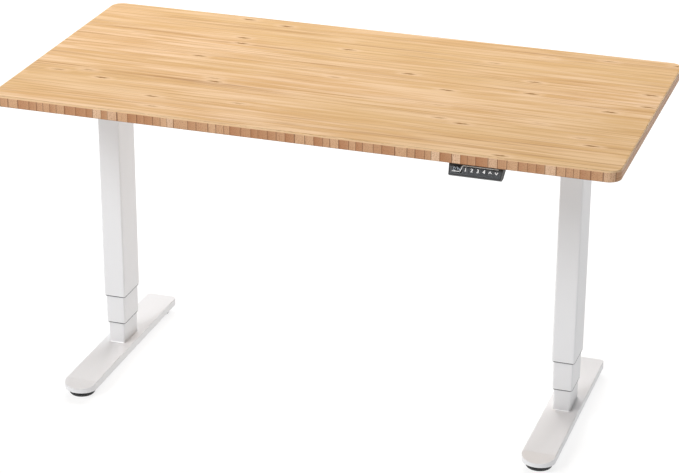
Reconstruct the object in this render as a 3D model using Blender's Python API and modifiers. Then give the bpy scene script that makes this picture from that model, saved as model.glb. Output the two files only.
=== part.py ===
"""Height adjustable standing desk on a two-motor frame with three-stage columns.

Sizes are in millimetres, and MM turns them into Blender's metres. X runs along the desktop,
the user sits on the -Y side, and the glides stand on Z = 0. The desk is held at its seated
height, so each column shows a short length of its middle and lower tubes.
"""

import math

import bmesh
import bpy
from mathutils import Matrix, Vector

MM = 0.001
GAP = 0.3  # between two pieces that touch
LEFT = -1
RIGHT = 1
SIDE_NAMES = {LEFT: "left", RIGHT: "right"}

# Desktop
TOP_WIDTH = 1400.0
TOP_DEPTH = 700.0
TOP_THICK = 25.0
TOP_HEIGHT = 740.0  # floor to the desktop's upper face
TOP_CORNER = 28.0
TOP_EASE = 2.0
UNDER = TOP_HEIGHT - TOP_THICK  # underside of the desktop
CEILING = UNDER - GAP  # highest point of what is screwed to that underside

# Columns: the largest tube is on top, and each one below it is smaller all round
COLUMN_X = 543.5
COLUMN_Y = -26.0
OUTER_WIDTH = 52.0
OUTER_DEPTH = 90.0
STAGE_STEP = 6.0
WALL = 1.5
TUBE_CORNER = 4.0
OUTER_LOW = 156.0
OUTER_HIGH = 665.5
MIDDLE_LOW = 86.0
MIDDLE_HIGH = 607.0
LOWER_HIGH = 537.0
LINER_LONG = 60.0
LINER_LIP = 1.0

# Feet and glides
FOOT_WIDTH = 76.0
FOOT_FRONT = -308.0
FOOT_REAR = 218.0
FOOT_LOW = 13.5
FOOT_HIGH = 32.0
FOOT_EASE = 1.5
NOSE_LONG = 34.0
NOSE_SLOPE = (36.0, 8.0)  # how far back the sloping nose starts, and how far it drops
TAIL_CORNER = 10.0
POCKET_SIDE = 4.0  # thickness left beside and above each pocket
POCKET_CLEAR = (52.0, 16.0)  # from a pocket to the column's centre, and to a glide's
GLIDE_YS = {"front": -270.0, "rear": 184.0}
GLIDE_RADIUS = 30.0
HUB_RADIUS = 10.0
STUD_RADIUS = 4.0
STUD_TOP = 29.0

# Drive
SCREW_RADIUS = 6.0
SCREW_LOW = 312.0
SCREW_HIGH = 703.0
COLLAR_RADIUS = 9.0
COLLAR_LOW = 680.3
COLLAR_THICK = 3.0
DRIVE_HEX = 14.2  # across the flats of the upper screw's foot
DRIVE_HEX_LONG = 10.0
HEX_BORE = 15.0
BORE_FLOOR = 12.0  # metal left below the hollow screw's bore
SLEEVE_RADIUS = 11.0
SLEEVE_LOW = 240.0
SLEEVE_HEAD = (15.0, 6.0)  # radius and thickness of the hollow screw's head
NUT_THICK = 12.0
GEAR_HEIGHT = 690.0  # centre of the wheel, the worm and the motor
WHEEL_TEETH = 24
WHEEL_TIP = 18.3
WHEEL_ROOT = 15.6
WHEEL_THICK = 12.0
WORM_TIP = 7.3
WORM_ROOT = 5.0
WORM_PITCH = 4.0
WORM_TURNS = 5
SHAFT_RADIUS = 4.0
SHAFT_INBOARD = 84.0  # from the column's axis to each end of the shaft
SHAFT_OUTBOARD = 24.0
MOTOR_RADIUS = 20.0
MOTOR_LONG = 80.0
MOTOR_BORE = 62.0
MOTOR_LEAD_BORE = 8.0

# Column heads and gearboxes
HEAD_LONG = 79.0
HEAD_DEPTH = 129.4
HEAD_LOW = 665.8
HEAD_HIGH = 710.7
HEAD_HOLE = 9.0
PLATE = 2.5
HOUSING_IN = 30.0  # from the column's axis to the motor's side
HOUSING_OUT = 26.0
HOUSING_FRONT = 22.0
HOUSING_REAR = 38.0
HOUSING_HIGH = 705.0
WHEEL_POCKET = (1.2, 10.0)  # clear round the wheel, and below its centre
WORM_POCKET = (20.0, 9.0, 10.5)  # half length, half width, and depth below its centre
COVER_THICK = 3.0
COVER_HOLE = 1.7
COVER_HOLE_INSET = 3.5

# Rails and side brackets
RAIL_DEEP = 20.0
RAIL_TALL = 40.0
RAIL_END = 583.0
RAIL_YS = {"front": -101.0, "rear": 49.0}
RAIL_CENTRE = 690.0
BRACKET_FRONT = -300.0
BRACKET_REAR = 270.0
BRACKET_FLANGE = 40.0
BRACKET_WEB = 40.0
BRACKET_TIP = 14.0
BRACKET_TAPER = 150.0
BRACKET_HOLE = 3.2
BRACKET_HOLE_SHIFT = 4.0  # outwards from the middle of the flange
BRACKET_HOLE_YS = (-230.0, -80.0, 80.0, 230.0)

# Control box
BOX_WIDE = 240.0
BOX_DEEP = 92.0
BOX_TALL = 34.0
BOX_Y = 140.0
BOX_WALL = 2.0
BOX_EAR = 18.0  # plate beyond each end of the cover
BOX_HOLE = 2.3
BOX_HOLE_AT = (BOX_WIDE / 2 + 10.0, BOX_DEEP / 2 - 14.0)
BOARD_SIZE = (184.0, 82.0)
BOARD_X = 14.0
BOARD_THICK = 1.6
BOARD_RISE = 4.0  # from the cover's floor to the board
TRANSFORMER = ((20.0, -30.0, 1.0), (64.0, 16.0, 22.0))
RELAY = ((-60.0, 6.0, 1.0), (-24.0, 30.0, 12.0))
CAPACITOR_XS = (-14.0, 2.0)
CAPACITOR_Y = -22.0
CAPACITOR_RADIUS = 6.0
CAPACITOR_HIGH = 20.0
INLET_Y = 150.0
INLET_Z = 695.0
INLET_BODY = (13.8, 9.9)  # half width and half height
INLET_RIM = (17.0, 13.0)
INLET_RECESS = (12.0, 8.0)
INLET_LONG = 24.0
BLADES = ((-7.0, -2.0), (0.0, 2.0), (7.0, -2.0))
BLADE_HALF = (1.0, 2.0)
LEAD_HOLE = 3.0
MOTOR_LEAD_X = 60.0
KEYPAD_LEAD_X = 0.0
LEAD_Z = 696.0

# Keypad: its face leans back from its lower front edge
PAD_X = 398.5
PAD_FRONT = (-349.5, 690.0)  # y and z of the lower front edge
PAD_TOP = (-333.6, CEILING)
PAD_REAR = -282.0
PAD_BOTTOM_HALF = 55.5
PAD_TOP_HALF = 58.2
PAD_RIM = 2.0
PAD_BODY = 10.0  # thickness square to the face
PAD_BODY_REAR = -328.0
PAD_FLANGE = (24.0, 3.0)  # depth and thickness of the mounting flange
PAD_CAVITY = 12.0
PAD_SCREW_X = 45.0
PAD_SCREW_HOLE = 2.2
PAD_SCREW_INSET = 10.0
PLATE_THICK = 1.5
KEY_NAMES = ("key_1", "key_2", "key_3", "key_4", "key_up", "key_down")
KEY_FIRST = -20.8  # x of the first key from the keypad's middle
KEY_PITCH = 13.1
KEY_SIZE = (11.0, 14.0)
KEY_THICK = 2.4
KEY_LIP = (0.7, 0.9)  # reach and thickness of the lip behind the panel
SWITCH_HALF = 3.0
KEY_ROW = 13.4  # height of the key row up the face
DISPLAY_X = -37.7
DISPLAY_SIZE = (19.0, 14.0)
DISPLAY_THICK = 2.9
PAD_BOARD = (-7.6, -6.0)
PAD_LEAD_X = 373.0
PAD_LEAD_Z = 700.0

# Leads
MOTOR_LEAD_RADIUS = 2.5
PAD_LEAD_RADIUS = 2.0

IN_XY = Matrix.Identity(4)  # outline in X and Y, pushed out along Z
IN_YZ = Matrix(((0, 0, 1, 0), (1, 0, 0, 0), (0, 1, 0, 0), (0, 0, 0, 1)))  # along X
IN_XZ = Matrix(((1, 0, 0, 0), (0, 0, 1, 0), (0, 1, 0, 0), (0, 0, 0, 1)))  # along Y


# Scene and materials


def clear_scene():
    """Removes every object, so that the script can run twice."""
    for old in list(bpy.data.objects):
        bpy.data.objects.remove(old, do_unlink=True)


def add_collection(name, hidden=False):
    """Makes a collection under the scene's own."""
    made = bpy.data.collections.new(name)
    bpy.context.scene.collection.children.link(made)
    made.hide_render = hidden
    return made


def finish(name, colour, roughness, metallic=0.0):
    """Makes a Principled material from a linear colour."""
    made = bpy.data.materials.new(name)
    made.use_nodes = True
    shader = made.node_tree.nodes["Principled BSDF"]
    shader.inputs["Base Color"].default_value = (*colour, 1.0)
    shader.inputs["Roughness"].default_value = roughness
    shader.inputs["Metallic"].default_value = metallic
    return made


# Outlines, as lists of (u, v) in millimetres


def arc(centre, radii, start, end, steps):
    """Points along an elliptic arc, both ends included, with the angles in degrees."""
    angles = [math.radians(start + (end - start) * step / steps) for step in range(steps + 1)]
    return [(centre[0] + radii[0] * math.cos(a), centre[1] + radii[1] * math.sin(a)) for a in angles]


def circle(radius, steps=24, centre=(0.0, 0.0)):
    """A closed circle."""
    return arc(centre, (radius, radius), 0, 360, steps)[:-1]


def rounded_rectangle(width, depth, radius, steps=4, centre=(0.0, 0.0)):
    """A closed rectangle with round corners."""
    points = []
    for quarter, (u, v) in enumerate(((1, 1), (-1, 1), (-1, -1), (1, -1))):
        corner = (centre[0] + u * (width / 2 - radius), centre[1] + v * (depth / 2 - radius))
        points += arc(corner, (radius, radius), 90 * quarter, 90 * quarter + 90, steps)
    return points


def hexagon(across_flats):
    """A closed hexagon."""
    return circle(across_flats / math.sqrt(3), 6)


def rectangle(low, high):
    """A closed rectangle from its two corners."""
    return [(low[0], low[1]), (high[0], low[1]), (high[0], high[1]), (low[0], high[1])]


def gear_outline(teeth, root, tip):
    """A closed outline with a flat-topped tooth on each of its pitches."""
    points = []
    for tooth in range(teeth):
        for share, radius in ((0.0, root), (0.22, root), (0.40, tip), (0.60, tip), (0.82, root)):
            angle = 2 * math.pi * (tooth + share) / teeth
            points.append((radius * math.cos(angle), radius * math.sin(angle)))
    return points


# Meshes


def tidy(mesh):
    """Welds a mesh, joins its level faces and turns them all outward."""
    work = bmesh.new()
    work.from_mesh(mesh)
    bmesh.ops.remove_doubles(work, verts=work.verts, dist=1e-6)
    bmesh.ops.dissolve_limit(work, angle_limit=1e-3, verts=work.verts, edges=work.edges)
    bmesh.ops.recalc_face_normals(work, faces=work.faces)
    work.to_mesh(mesh)
    work.free()
    return mesh


def mesh_of(curve_object):
    """Turns a curve object into a welded mesh, and removes the curve."""
    mesh = bpy.data.meshes.new_from_object(curve_object)
    bpy.data.objects.remove(curve_object, do_unlink=True)
    return tidy(mesh)


def extruded(loops, low, high, plane=IN_XY):
    """Pushes a filled outline from low to high. The loops after the first are its holes."""
    curve = bpy.data.curves.new("outline", "CURVE")
    curve.dimensions = "2D"
    curve.fill_mode = "BOTH"
    curve.extrude = (high - low) / 2 * MM
    for loop in loops:
        spline = curve.splines.new("POLY")
        spline.points.add(len(loop) - 1)
        for point, (u, v) in zip(spline.points, loop):
            point.co = (u * MM, v * MM, 0.0, 1.0)
        spline.use_cyclic_u = True
    mesh = mesh_of(bpy.data.objects.new("outline", curve))
    mesh.transform(plane @ Matrix.Translation((0.0, 0.0, (high + low) / 2 * MM)))
    return tidy(mesh)


def turned(profile, steps=24, plane=IN_XY):
    """Spins a profile of (radius, height) about its axis. It starts and ends on the axis."""
    work = bmesh.new()
    verts = [work.verts.new((radius * MM, 0.0, height * MM)) for radius, height in profile]
    edges = [work.edges.new(pair) for pair in zip(verts, verts[1:])]
    bmesh.ops.spin(
        work,
        geom=verts + edges,
        cent=(0.0, 0.0, 0.0),
        axis=(0.0, 0.0, 1.0),
        angle=2 * math.pi,
        steps=steps,
        use_merge=True,
        use_duplicate=False,
    )
    mesh = bpy.data.meshes.new("turned")
    work.to_mesh(mesh)
    work.free()
    tidy(mesh)
    mesh.transform(plane)
    return tidy(mesh)


def block(low, high):
    """A box between two corners."""
    return extruded([rectangle(low[:2], high[:2])], low[2], high[2])


def smooth_route(points, steps=6):
    """Points of a Catmull-Rom curve through the given ones."""
    known = [Vector(point) for point in points]
    known = [2 * known[0] - known[1], *known, 2 * known[-1] - known[-2]]
    route = []
    for a, b, c, d in zip(known, known[1:], known[2:], known[3:]):
        for step in range(steps):
            t = step / steps
            bend = (2 * a - 5 * b + 4 * c - d) * t**2 + (3 * b - a - 3 * c + d) * t**3
            route.append(b + (c - a) * t / 2 + bend / 2)
    return [*route, known[-2]]


def tube_along(points, radius):
    """A round lead along a route, with closed ends."""
    curve = bpy.data.curves.new("route", "CURVE")
    curve.dimensions = "3D"
    curve.bevel_depth = radius * MM
    curve.bevel_resolution = 2
    curve.use_fill_caps = True
    spline = curve.splines.new("POLY")
    spline.points.add(len(points) - 1)
    for point, place_mm in zip(spline.points, points):
        point.co = (*(place_mm * MM), 1.0)
    return mesh_of(bpy.data.objects.new("route", curve))


# Objects


class Desk:
    """Holds the collections and the finishes, and places what is made."""

    def __init__(self):
        self.parts = add_collection("standing_desk")
        self.cutters = add_collection("cutters", hidden=True)
        self.white = finish("white_powder_coat", (0.80, 0.80, 0.81), 0.45)
        self.bamboo = finish("lacquered_bamboo", (0.80, 0.57, 0.31), 0.40)
        self.black = finish("black_plastic", (0.02, 0.02, 0.022), 0.50)
        self.charcoal = finish("charcoal_plastic", (0.045, 0.05, 0.055), 0.42)
        self.steel = finish("bright_steel", (0.56, 0.57, 0.58), 0.30, 1.0)
        self.brass = finish("brass", (0.75, 0.55, 0.22), 0.35, 1.0)
        self.casting = finish("die_cast_aluminium", (0.50, 0.51, 0.52), 0.50, 1.0)
        self.nylon = finish("grey_nylon", (0.06, 0.06, 0.065), 0.50)
        self.board = finish("circuit_board", (0.02, 0.16, 0.07), 0.45)
        self.smoked = finish("smoked_window", (0.01, 0.01, 0.012), 0.12)
        self.rubber = finish("black_rubber", (0.015, 0.015, 0.015), 0.80)
        self.enamel = finish("black_motor_enamel", (0.03, 0.03, 0.032), 0.40)

    def pivot(self, name, at, parent=None, lean=0.0):
        """Adds an empty at a world point, leaning about X by an angle in radians."""
        made = bpy.data.objects.new(name, None)
        made.empty_display_size = 20 * MM
        made.rotation_euler.x = lean
        self.parts.objects.link(made)
        return self.place(made, at, parent)

    def place(self, obj, at, parent=None):
        """Puts an object at a world point under an upright parent."""
        obj["at_mm"] = at
        obj.parent = parent
        base = parent["at_mm"] if parent else (0.0, 0.0, 0.0)
        obj.location = [(value - start) * MM for value, start in zip(at, base)]
        return obj

    def add(self, name, mesh, look, at, parent):
        """Adds a sub-part whose mesh is measured from the world point at."""
        made = bpy.data.objects.new(name, mesh)
        mesh.name = name
        mesh.materials.clear()
        mesh.materials.append(look)
        self.parts.objects.link(made)
        return self.place(made, at, parent)

    def add_on_face(self, name, mesh, look, at, parent):
        """Adds a sub-part placed in its leaning parent's own axes."""
        made = self.add(name, mesh, look, (0.0, 0.0, 0.0), None)
        made.parent = parent
        made.location = [value * MM for value in at]
        return made

    def change(self, obj, mesh, operation="DIFFERENCE"):
        """Cuts or joins a mesh that is measured from the object's own origin."""
        tool = bpy.data.objects.new(f"{obj.name}_{operation.lower()}", mesh)
        self.cutters.objects.link(tool)
        tool.display_type = "WIRE"
        tool.hide_render = True
        tool.parent = obj
        step = obj.modifiers.new(operation.title(), "BOOLEAN")
        step.object = tool
        step.operation = operation
        step.solver = "EXACT"
        return obj

    def soften(self, obj, width, segments=2, angle=50.0):
        """Rounds the edges that are sharper than an angle in degrees."""
        step = obj.modifiers.new("Bevel", "BEVEL")
        step.width = width * MM
        step.segments = segments
        step.limit_method = "ANGLE"
        step.angle_limit = math.radians(angle)
        return obj


# Desktop, rails and brackets


def add_desktop(desk, frame):
    """The laminated bamboo top, with round corners and eased edges."""
    outline = rounded_rectangle(TOP_WIDTH, TOP_DEPTH, TOP_CORNER, 8)
    mesh = extruded([outline], 0.0, TOP_THICK)
    desk.soften(desk.add("desktop", mesh, desk.bamboo, (0.0, 0.0, UNDER), frame), TOP_EASE)


def add_rail_pair(desk, frame, name, y):
    """Two box-section rails. The right one slides into the left one when the frame is set up."""
    walls = 2 * WALL
    outer = (RAIL_DEEP, RAIL_TALL)
    inner = (outer[0] - walls - 2 * GAP, outer[1] - walls - 2 * GAP)
    spans = {"outer": (outer, -RAIL_END, 60.0), "inner": (inner, -240.0, RAIL_END)}
    for part, (size, start, end) in spans.items():
        loops = [rounded_rectangle(*size, 2.0, 3)]
        loops.append(rounded_rectangle(size[0] - walls, size[1] - walls, 1.0, 2))
        mesh = extruded(loops, start, end, IN_YZ)
        desk.add(f"{name}_rail_{part}", mesh, desk.white, (0.0, y, RAIL_CENTRE), frame)


def add_side_bracket(desk, frame, side):
    """An angle plate outside the rails, with tapered ends and a flange under the desktop."""
    web = side * (RAIL_END + GAP)
    middle = (BRACKET_FRONT + BRACKET_REAR) / 2
    half = (BRACKET_REAR - BRACKET_FRONT) / 2
    outline = [
        (-half, 0.0),
        (-half, -BRACKET_TIP),
        (-half + BRACKET_TAPER, -BRACKET_WEB),
        (half - BRACKET_TAPER, -BRACKET_WEB),
        (half, -BRACKET_TIP),
        (half, 0.0),
    ]
    low, high = sorted((0.0, side * PLATE))
    mesh = extruded([outline], low, high, IN_YZ)
    name = f"{SIDE_NAMES[side]}_side_bracket"
    bracket = desk.add(name, mesh, desk.white, (web, middle, CEILING), frame)
    out = side * BRACKET_FLANGE / 2
    hole_x = out + side * BRACKET_HOLE_SHIFT
    holes = [circle(BRACKET_HOLE, 12, (hole_x, y)) for y in BRACKET_HOLE_YS]
    plate = rounded_rectangle(BRACKET_FLANGE, 2 * half, 0.5, 2, (out, 0.0))
    desk.change(bracket, extruded([plate, *holes], -PLATE, 0.0), "UNION")


def add_column_head(desk, frame, side):
    """The pressed tray on top of the column that the rails and the gearbox bolt to."""
    half = HEAD_DEPTH / 2
    tall = HEAD_HIGH - HEAD_LOW
    outline = [
        (-half, 0.0),
        (half, 0.0),
        (half, tall),
        (half - PLATE, tall),
        (half - PLATE, PLATE),
        (-half + PLATE, PLATE),
        (-half + PLATE, tall),
        (-half, tall),
    ]
    mesh = extruded([outline], -HEAD_LONG / 2, HEAD_LONG / 2, IN_YZ)
    at = (side * COLUMN_X, COLUMN_Y, HEAD_LOW)
    head = desk.add(f"{SIDE_NAMES[side]}_column_head", mesh, desk.white, at, frame)
    desk.change(head, extruded([circle(HEAD_HOLE)], -1.0, PLATE + 1.0))


# Columns


def add_tube(desk, body, name, side, shrink, low, high):
    """One stage of a column: a box-section tube, this much smaller than the top one."""
    size = (OUTER_WIDTH - shrink, OUTER_DEPTH - shrink)
    inside = (size[0] - 2 * WALL, size[1] - 2 * WALL)
    loops = [rounded_rectangle(*size, TUBE_CORNER, 5)]
    loops.append(rounded_rectangle(*inside, TUBE_CORNER - WALL, 5))
    at = (side * COLUMN_X, COLUMN_Y, low)
    desk.add(f"{SIDE_NAMES[side]}_{name}_tube", extruded(loops, 0.0, high - low), desk.white, at, body)


def add_liner(desk, body, name, side, shrink, low):
    """The thin plastic sleeve in a tube's mouth that the next tube slides in."""
    room = 2 * (WALL + GAP)
    size = (OUTER_WIDTH - shrink - room, OUTER_DEPTH - shrink - room)
    play = 2 * GAP - STAGE_STEP
    inside = (OUTER_WIDTH - shrink + play, OUTER_DEPTH - shrink + play)
    loops = [rounded_rectangle(*size, 2.2, 3), rounded_rectangle(*inside, 1.5, 3)]
    mesh = extruded(loops, -LINER_LIP, LINER_LONG)
    at = (side * COLUMN_X, COLUMN_Y, low)
    desk.add(f"{SIDE_NAMES[side]}_{name}_liner", mesh, desk.nylon, at, body)


def add_nut(desk, body, name, side, shrink, high, bore):
    """The brass plug in a tube's top end that a screw runs through."""
    room = 2 * (WALL + GAP)
    size = (OUTER_WIDTH - shrink - room, OUTER_DEPTH - shrink - room)
    loops = [rounded_rectangle(*size, 2.0, 3), circle(bore + GAP, 24)]
    at = (side * COLUMN_X, COLUMN_Y, high - NUT_THICK)
    desk.add(f"{SIDE_NAMES[side]}_{name}_nut", extruded(loops, 0.0, NUT_THICK), desk.brass, at, body)


def add_upper_screw(desk, drive, side):
    """The screw that hangs from the gearbox. Its hexagonal foot turns the hollow screw."""
    collar = COLLAR_LOW - SCREW_LOW
    top = SCREW_HIGH - SCREW_LOW
    profile = [
        (0.0, DRIVE_HEX_LONG - 2.0),
        (SCREW_RADIUS, DRIVE_HEX_LONG - 2.0),
        (SCREW_RADIUS, collar),
        (COLLAR_RADIUS, collar),
        (COLLAR_RADIUS, collar + COLLAR_THICK),
        (SCREW_RADIUS, collar + COLLAR_THICK),
        (SCREW_RADIUS, top - 1.0),
        (SCREW_RADIUS - 1.0, top),
        (0.0, top),
    ]
    at = (side * COLUMN_X, COLUMN_Y, SCREW_LOW)
    screw = desk.add(f"{SIDE_NAMES[side]}_upper_screw", turned(profile), desk.steel, at, drive)
    desk.change(screw, extruded([hexagon(DRIVE_HEX)], 0.0, DRIVE_HEX_LONG), "UNION")


def add_lower_screw(desk, drive, side):
    """The hollow screw under the middle tube's plug, with a hexagonal bore."""
    top = MIDDLE_HIGH - NUT_THICK - 2 * GAP - SLEEVE_LOW
    head_radius, head_thick = SLEEVE_HEAD
    profile = [
        (0.0, 0.0),
        (SLEEVE_RADIUS - 1.0, 0.0),
        (SLEEVE_RADIUS, 1.0),
        (SLEEVE_RADIUS, top - head_thick),
        (head_radius, top - head_thick),
        (head_radius, top),
        (0.0, top),
    ]
    at = (side * COLUMN_X, COLUMN_Y, SLEEVE_LOW)
    screw = desk.add(f"{SIDE_NAMES[side]}_lower_screw", turned(profile), desk.steel, at, drive)
    desk.change(screw, extruded([hexagon(HEX_BORE)], BORE_FLOOR, top + 2.0))


# Gearboxes and motors


def add_worm_wheel(desk, drive, side):
    """The wheel that turns the upper screw."""
    loops = [gear_outline(WHEEL_TEETH, WHEEL_ROOT, WHEEL_TIP), circle(SCREW_RADIUS + GAP, 24)]
    mesh = extruded(loops, -WHEEL_THICK / 2, WHEEL_THICK / 2)
    at = (side * COLUMN_X, COLUMN_Y, GEAR_HEIGHT)
    desk.add(f"{SIDE_NAMES[side]}_worm_wheel", mesh, desk.brass, at, drive)


def add_worm_shaft(desk, drive, side):
    """The motor's shaft with the worm on it, its ridges spaced by the worm's pitch."""
    half = WORM_PITCH * WORM_TURNS / 2
    profile = [(0.0, -SHAFT_INBOARD), (SHAFT_RADIUS, -SHAFT_INBOARD), (SHAFT_RADIUS, -half - 1.0)]
    profile.append((WORM_ROOT, -half - 1.0))
    for turn in range(WORM_TURNS):
        start = -half + turn * WORM_PITCH
        for share, radius in ((0.15, WORM_ROOT), (0.38, WORM_TIP), (0.62, WORM_TIP), (0.85, WORM_ROOT)):
            profile.append((radius, start + share * WORM_PITCH))
    profile += [(WORM_ROOT, half + 1.0), (SHAFT_RADIUS, half + 1.0)]
    profile += [(SHAFT_RADIUS, SHAFT_OUTBOARD), (0.0, SHAFT_OUTBOARD)]
    mesh = turned(profile, 12, IN_YZ)
    if side == LEFT:
        mesh.transform(Matrix.Scale(-1.0, 4, (1.0, 0.0, 0.0)))
        tidy(mesh)
    at = (side * COLUMN_X, 0.0, GEAR_HEIGHT)
    desk.add(f"{SIDE_NAMES[side]}_worm_shaft", mesh, desk.steel, at, drive)


def add_gear_housing(desk, frame, side):
    """The die-cast gearbox, open on top for the wheel and the worm, and its flat cover."""
    name = SIDE_NAMES[side]
    low = HEAD_LOW + PLATE + GAP
    start, end = sorted((-side * HOUSING_IN, side * HOUSING_OUT))
    high = HOUSING_HIGH - GEAR_HEIGHT
    mesh = block((start, -HOUSING_FRONT, low - GEAR_HEIGHT), (end, HOUSING_REAR, high))
    at = (side * COLUMN_X, COLUMN_Y, GEAR_HEIGHT)
    housing = desk.add(f"{name}_gear_housing", mesh, desk.casting, at, frame)
    clear, depth = WHEEL_POCKET
    desk.change(housing, extruded([circle(WHEEL_TIP + clear)], -depth, high + 1.0))
    worm_y = -COLUMN_Y
    half_long, half_wide, depth = WORM_POCKET
    pocket = block((-half_long, worm_y - half_wide, -depth), (half_long, worm_y + half_wide, high + 2.0))
    desk.change(housing, pocket)
    desk.change(housing, extruded([circle(SCREW_RADIUS + GAP)], -30.0, -5.0))
    bore = circle(SHAFT_RADIUS + GAP, 24, (worm_y, 0.0))
    desk.change(housing, extruded([bore], -40.0, 40.0, IN_YZ))
    middle = (HOUSING_REAR - HOUSING_FRONT) / 2
    size = (HOUSING_IN + HOUSING_OUT, HOUSING_FRONT + HOUSING_REAR)
    centre = ((start + end) / 2, middle)
    loops = [rounded_rectangle(*size, 2.0, 3, centre)]
    for u in (-1, 1):
        for v in (-1, 1):
            out = (size[0] / 2 - COVER_HOLE_INSET, size[1] / 2 - COVER_HOLE_INSET)
            loops.append(circle(COVER_HOLE, 12, (centre[0] + u * out[0], centre[1] + v * out[1])))
    base = high + GAP
    desk.add(f"{name}_gear_cover", extruded(loops, base, base + COVER_THICK), desk.casting, at, frame)


def add_motor(desk, frame, side):
    """The round motor beside the gearbox, with a bore for its shaft and one for its lead."""
    profile = [
        (0.0, MOTOR_BORE),
        (SHAFT_RADIUS + GAP, MOTOR_BORE),
        (SHAFT_RADIUS + GAP, 0.0),
        (MOTOR_RADIUS - 2.0, 0.0),
        (MOTOR_RADIUS, 2.0),
        (MOTOR_RADIUS, MOTOR_LONG - 3.0),
        (MOTOR_RADIUS - 3.0, MOTOR_LONG),
        (MOTOR_LEAD_RADIUS + GAP, MOTOR_LONG),
        (MOTOR_LEAD_RADIUS + GAP, MOTOR_LONG - MOTOR_LEAD_BORE),
        (0.0, MOTOR_LONG - MOTOR_LEAD_BORE),
    ]
    mesh = turned(profile, 24, IN_YZ)
    if side == RIGHT:
        mesh.transform(Matrix.Scale(-1.0, 4, (1.0, 0.0, 0.0)))
        tidy(mesh)
    at = (side * (COLUMN_X - HOUSING_IN - GAP), 0.0, GEAR_HEIGHT)
    desk.add(f"{SIDE_NAMES[side]}_motor", mesh, desk.enamel, at, frame)


# Feet


def foot_outline():
    """The foot from above: an elliptic nose in front and small corners behind."""
    half = FOOT_WIDTH / 2
    corner = TAIL_CORNER
    points = arc((0.0, FOOT_FRONT + NOSE_LONG), (half, NOSE_LONG), 180, 360, 16)
    points += arc((half - corner, FOOT_REAR - corner), (corner, corner), 0, 90, 4)
    points += arc((corner - half, FOOT_REAR - corner), (corner, corner), 90, 180, 4)
    return points


def add_foot(desk, base, side):
    """The pressed foot: a sloping nose, a pocket each side of the column, two stud holes."""
    at = (side * COLUMN_X, 0.0, FOOT_LOW)
    thick = FOOT_HIGH - FOOT_LOW
    mesh = extruded([foot_outline()], 0.0, thick)
    foot = desk.add(f"{SIDE_NAMES[side]}_foot", mesh, desk.white, at, base)
    desk.soften(foot, FOOT_EASE)
    back, drop = NOSE_SLOPE
    start = FOOT_FRONT + back
    fall = drop / back
    wedge = [
        (start + 4.0, thick + 4.0 * fall),
        (start - 2 * back, thick - 2 * drop),
        (start - 2 * back, thick + 9.0),
        (start + 4.0, thick + 9.0),
    ]
    desk.change(foot, extruded([wedge], -FOOT_WIDTH, FOOT_WIDTH, IN_YZ))
    from_column, from_glide = POCKET_CLEAR
    spans = (
        (GLIDE_YS["front"] + from_glide, COLUMN_Y - from_column),
        (COLUMN_Y + from_column, GLIDE_YS["rear"] - from_glide),
    )
    for near, far in spans:
        size = (FOOT_WIDTH - 2 * POCKET_SIDE, far - near)
        pocket = rounded_rectangle(*size, 6.0, 3, (0.0, (near + far) / 2))
        desk.change(foot, extruded([pocket], -3.0, thick - POCKET_SIDE))
    for y in GLIDE_YS.values():
        hole = circle(STUD_RADIUS + GAP, 16, (0.0, y))
        desk.change(foot, extruded([hole], -2.0, STUD_TOP + GAP + 0.2 - FOOT_LOW))


def add_glide(desk, base, side, end):
    """A levelling glide: a broad disc on a threaded stud."""
    hub = FOOT_LOW - GAP
    profile = [
        (0.0, 0.0),
        (GLIDE_RADIUS - 3.0, 0.0),
        (GLIDE_RADIUS, 2.0),
        (GLIDE_RADIUS, 7.0),
        (GLIDE_RADIUS - 3.0, 9.5),
        (HUB_RADIUS, 9.5),
        (HUB_RADIUS, hub),
        (STUD_RADIUS, hub),
        (STUD_RADIUS, STUD_TOP),
        (0.0, STUD_TOP),
    ]
    at = (side * COLUMN_X, GLIDE_YS[end], 0.0)
    desk.add(f"{end}_{SIDE_NAMES[side]}_glide", turned(profile), desk.rubber, at, base)


# Control box


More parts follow.
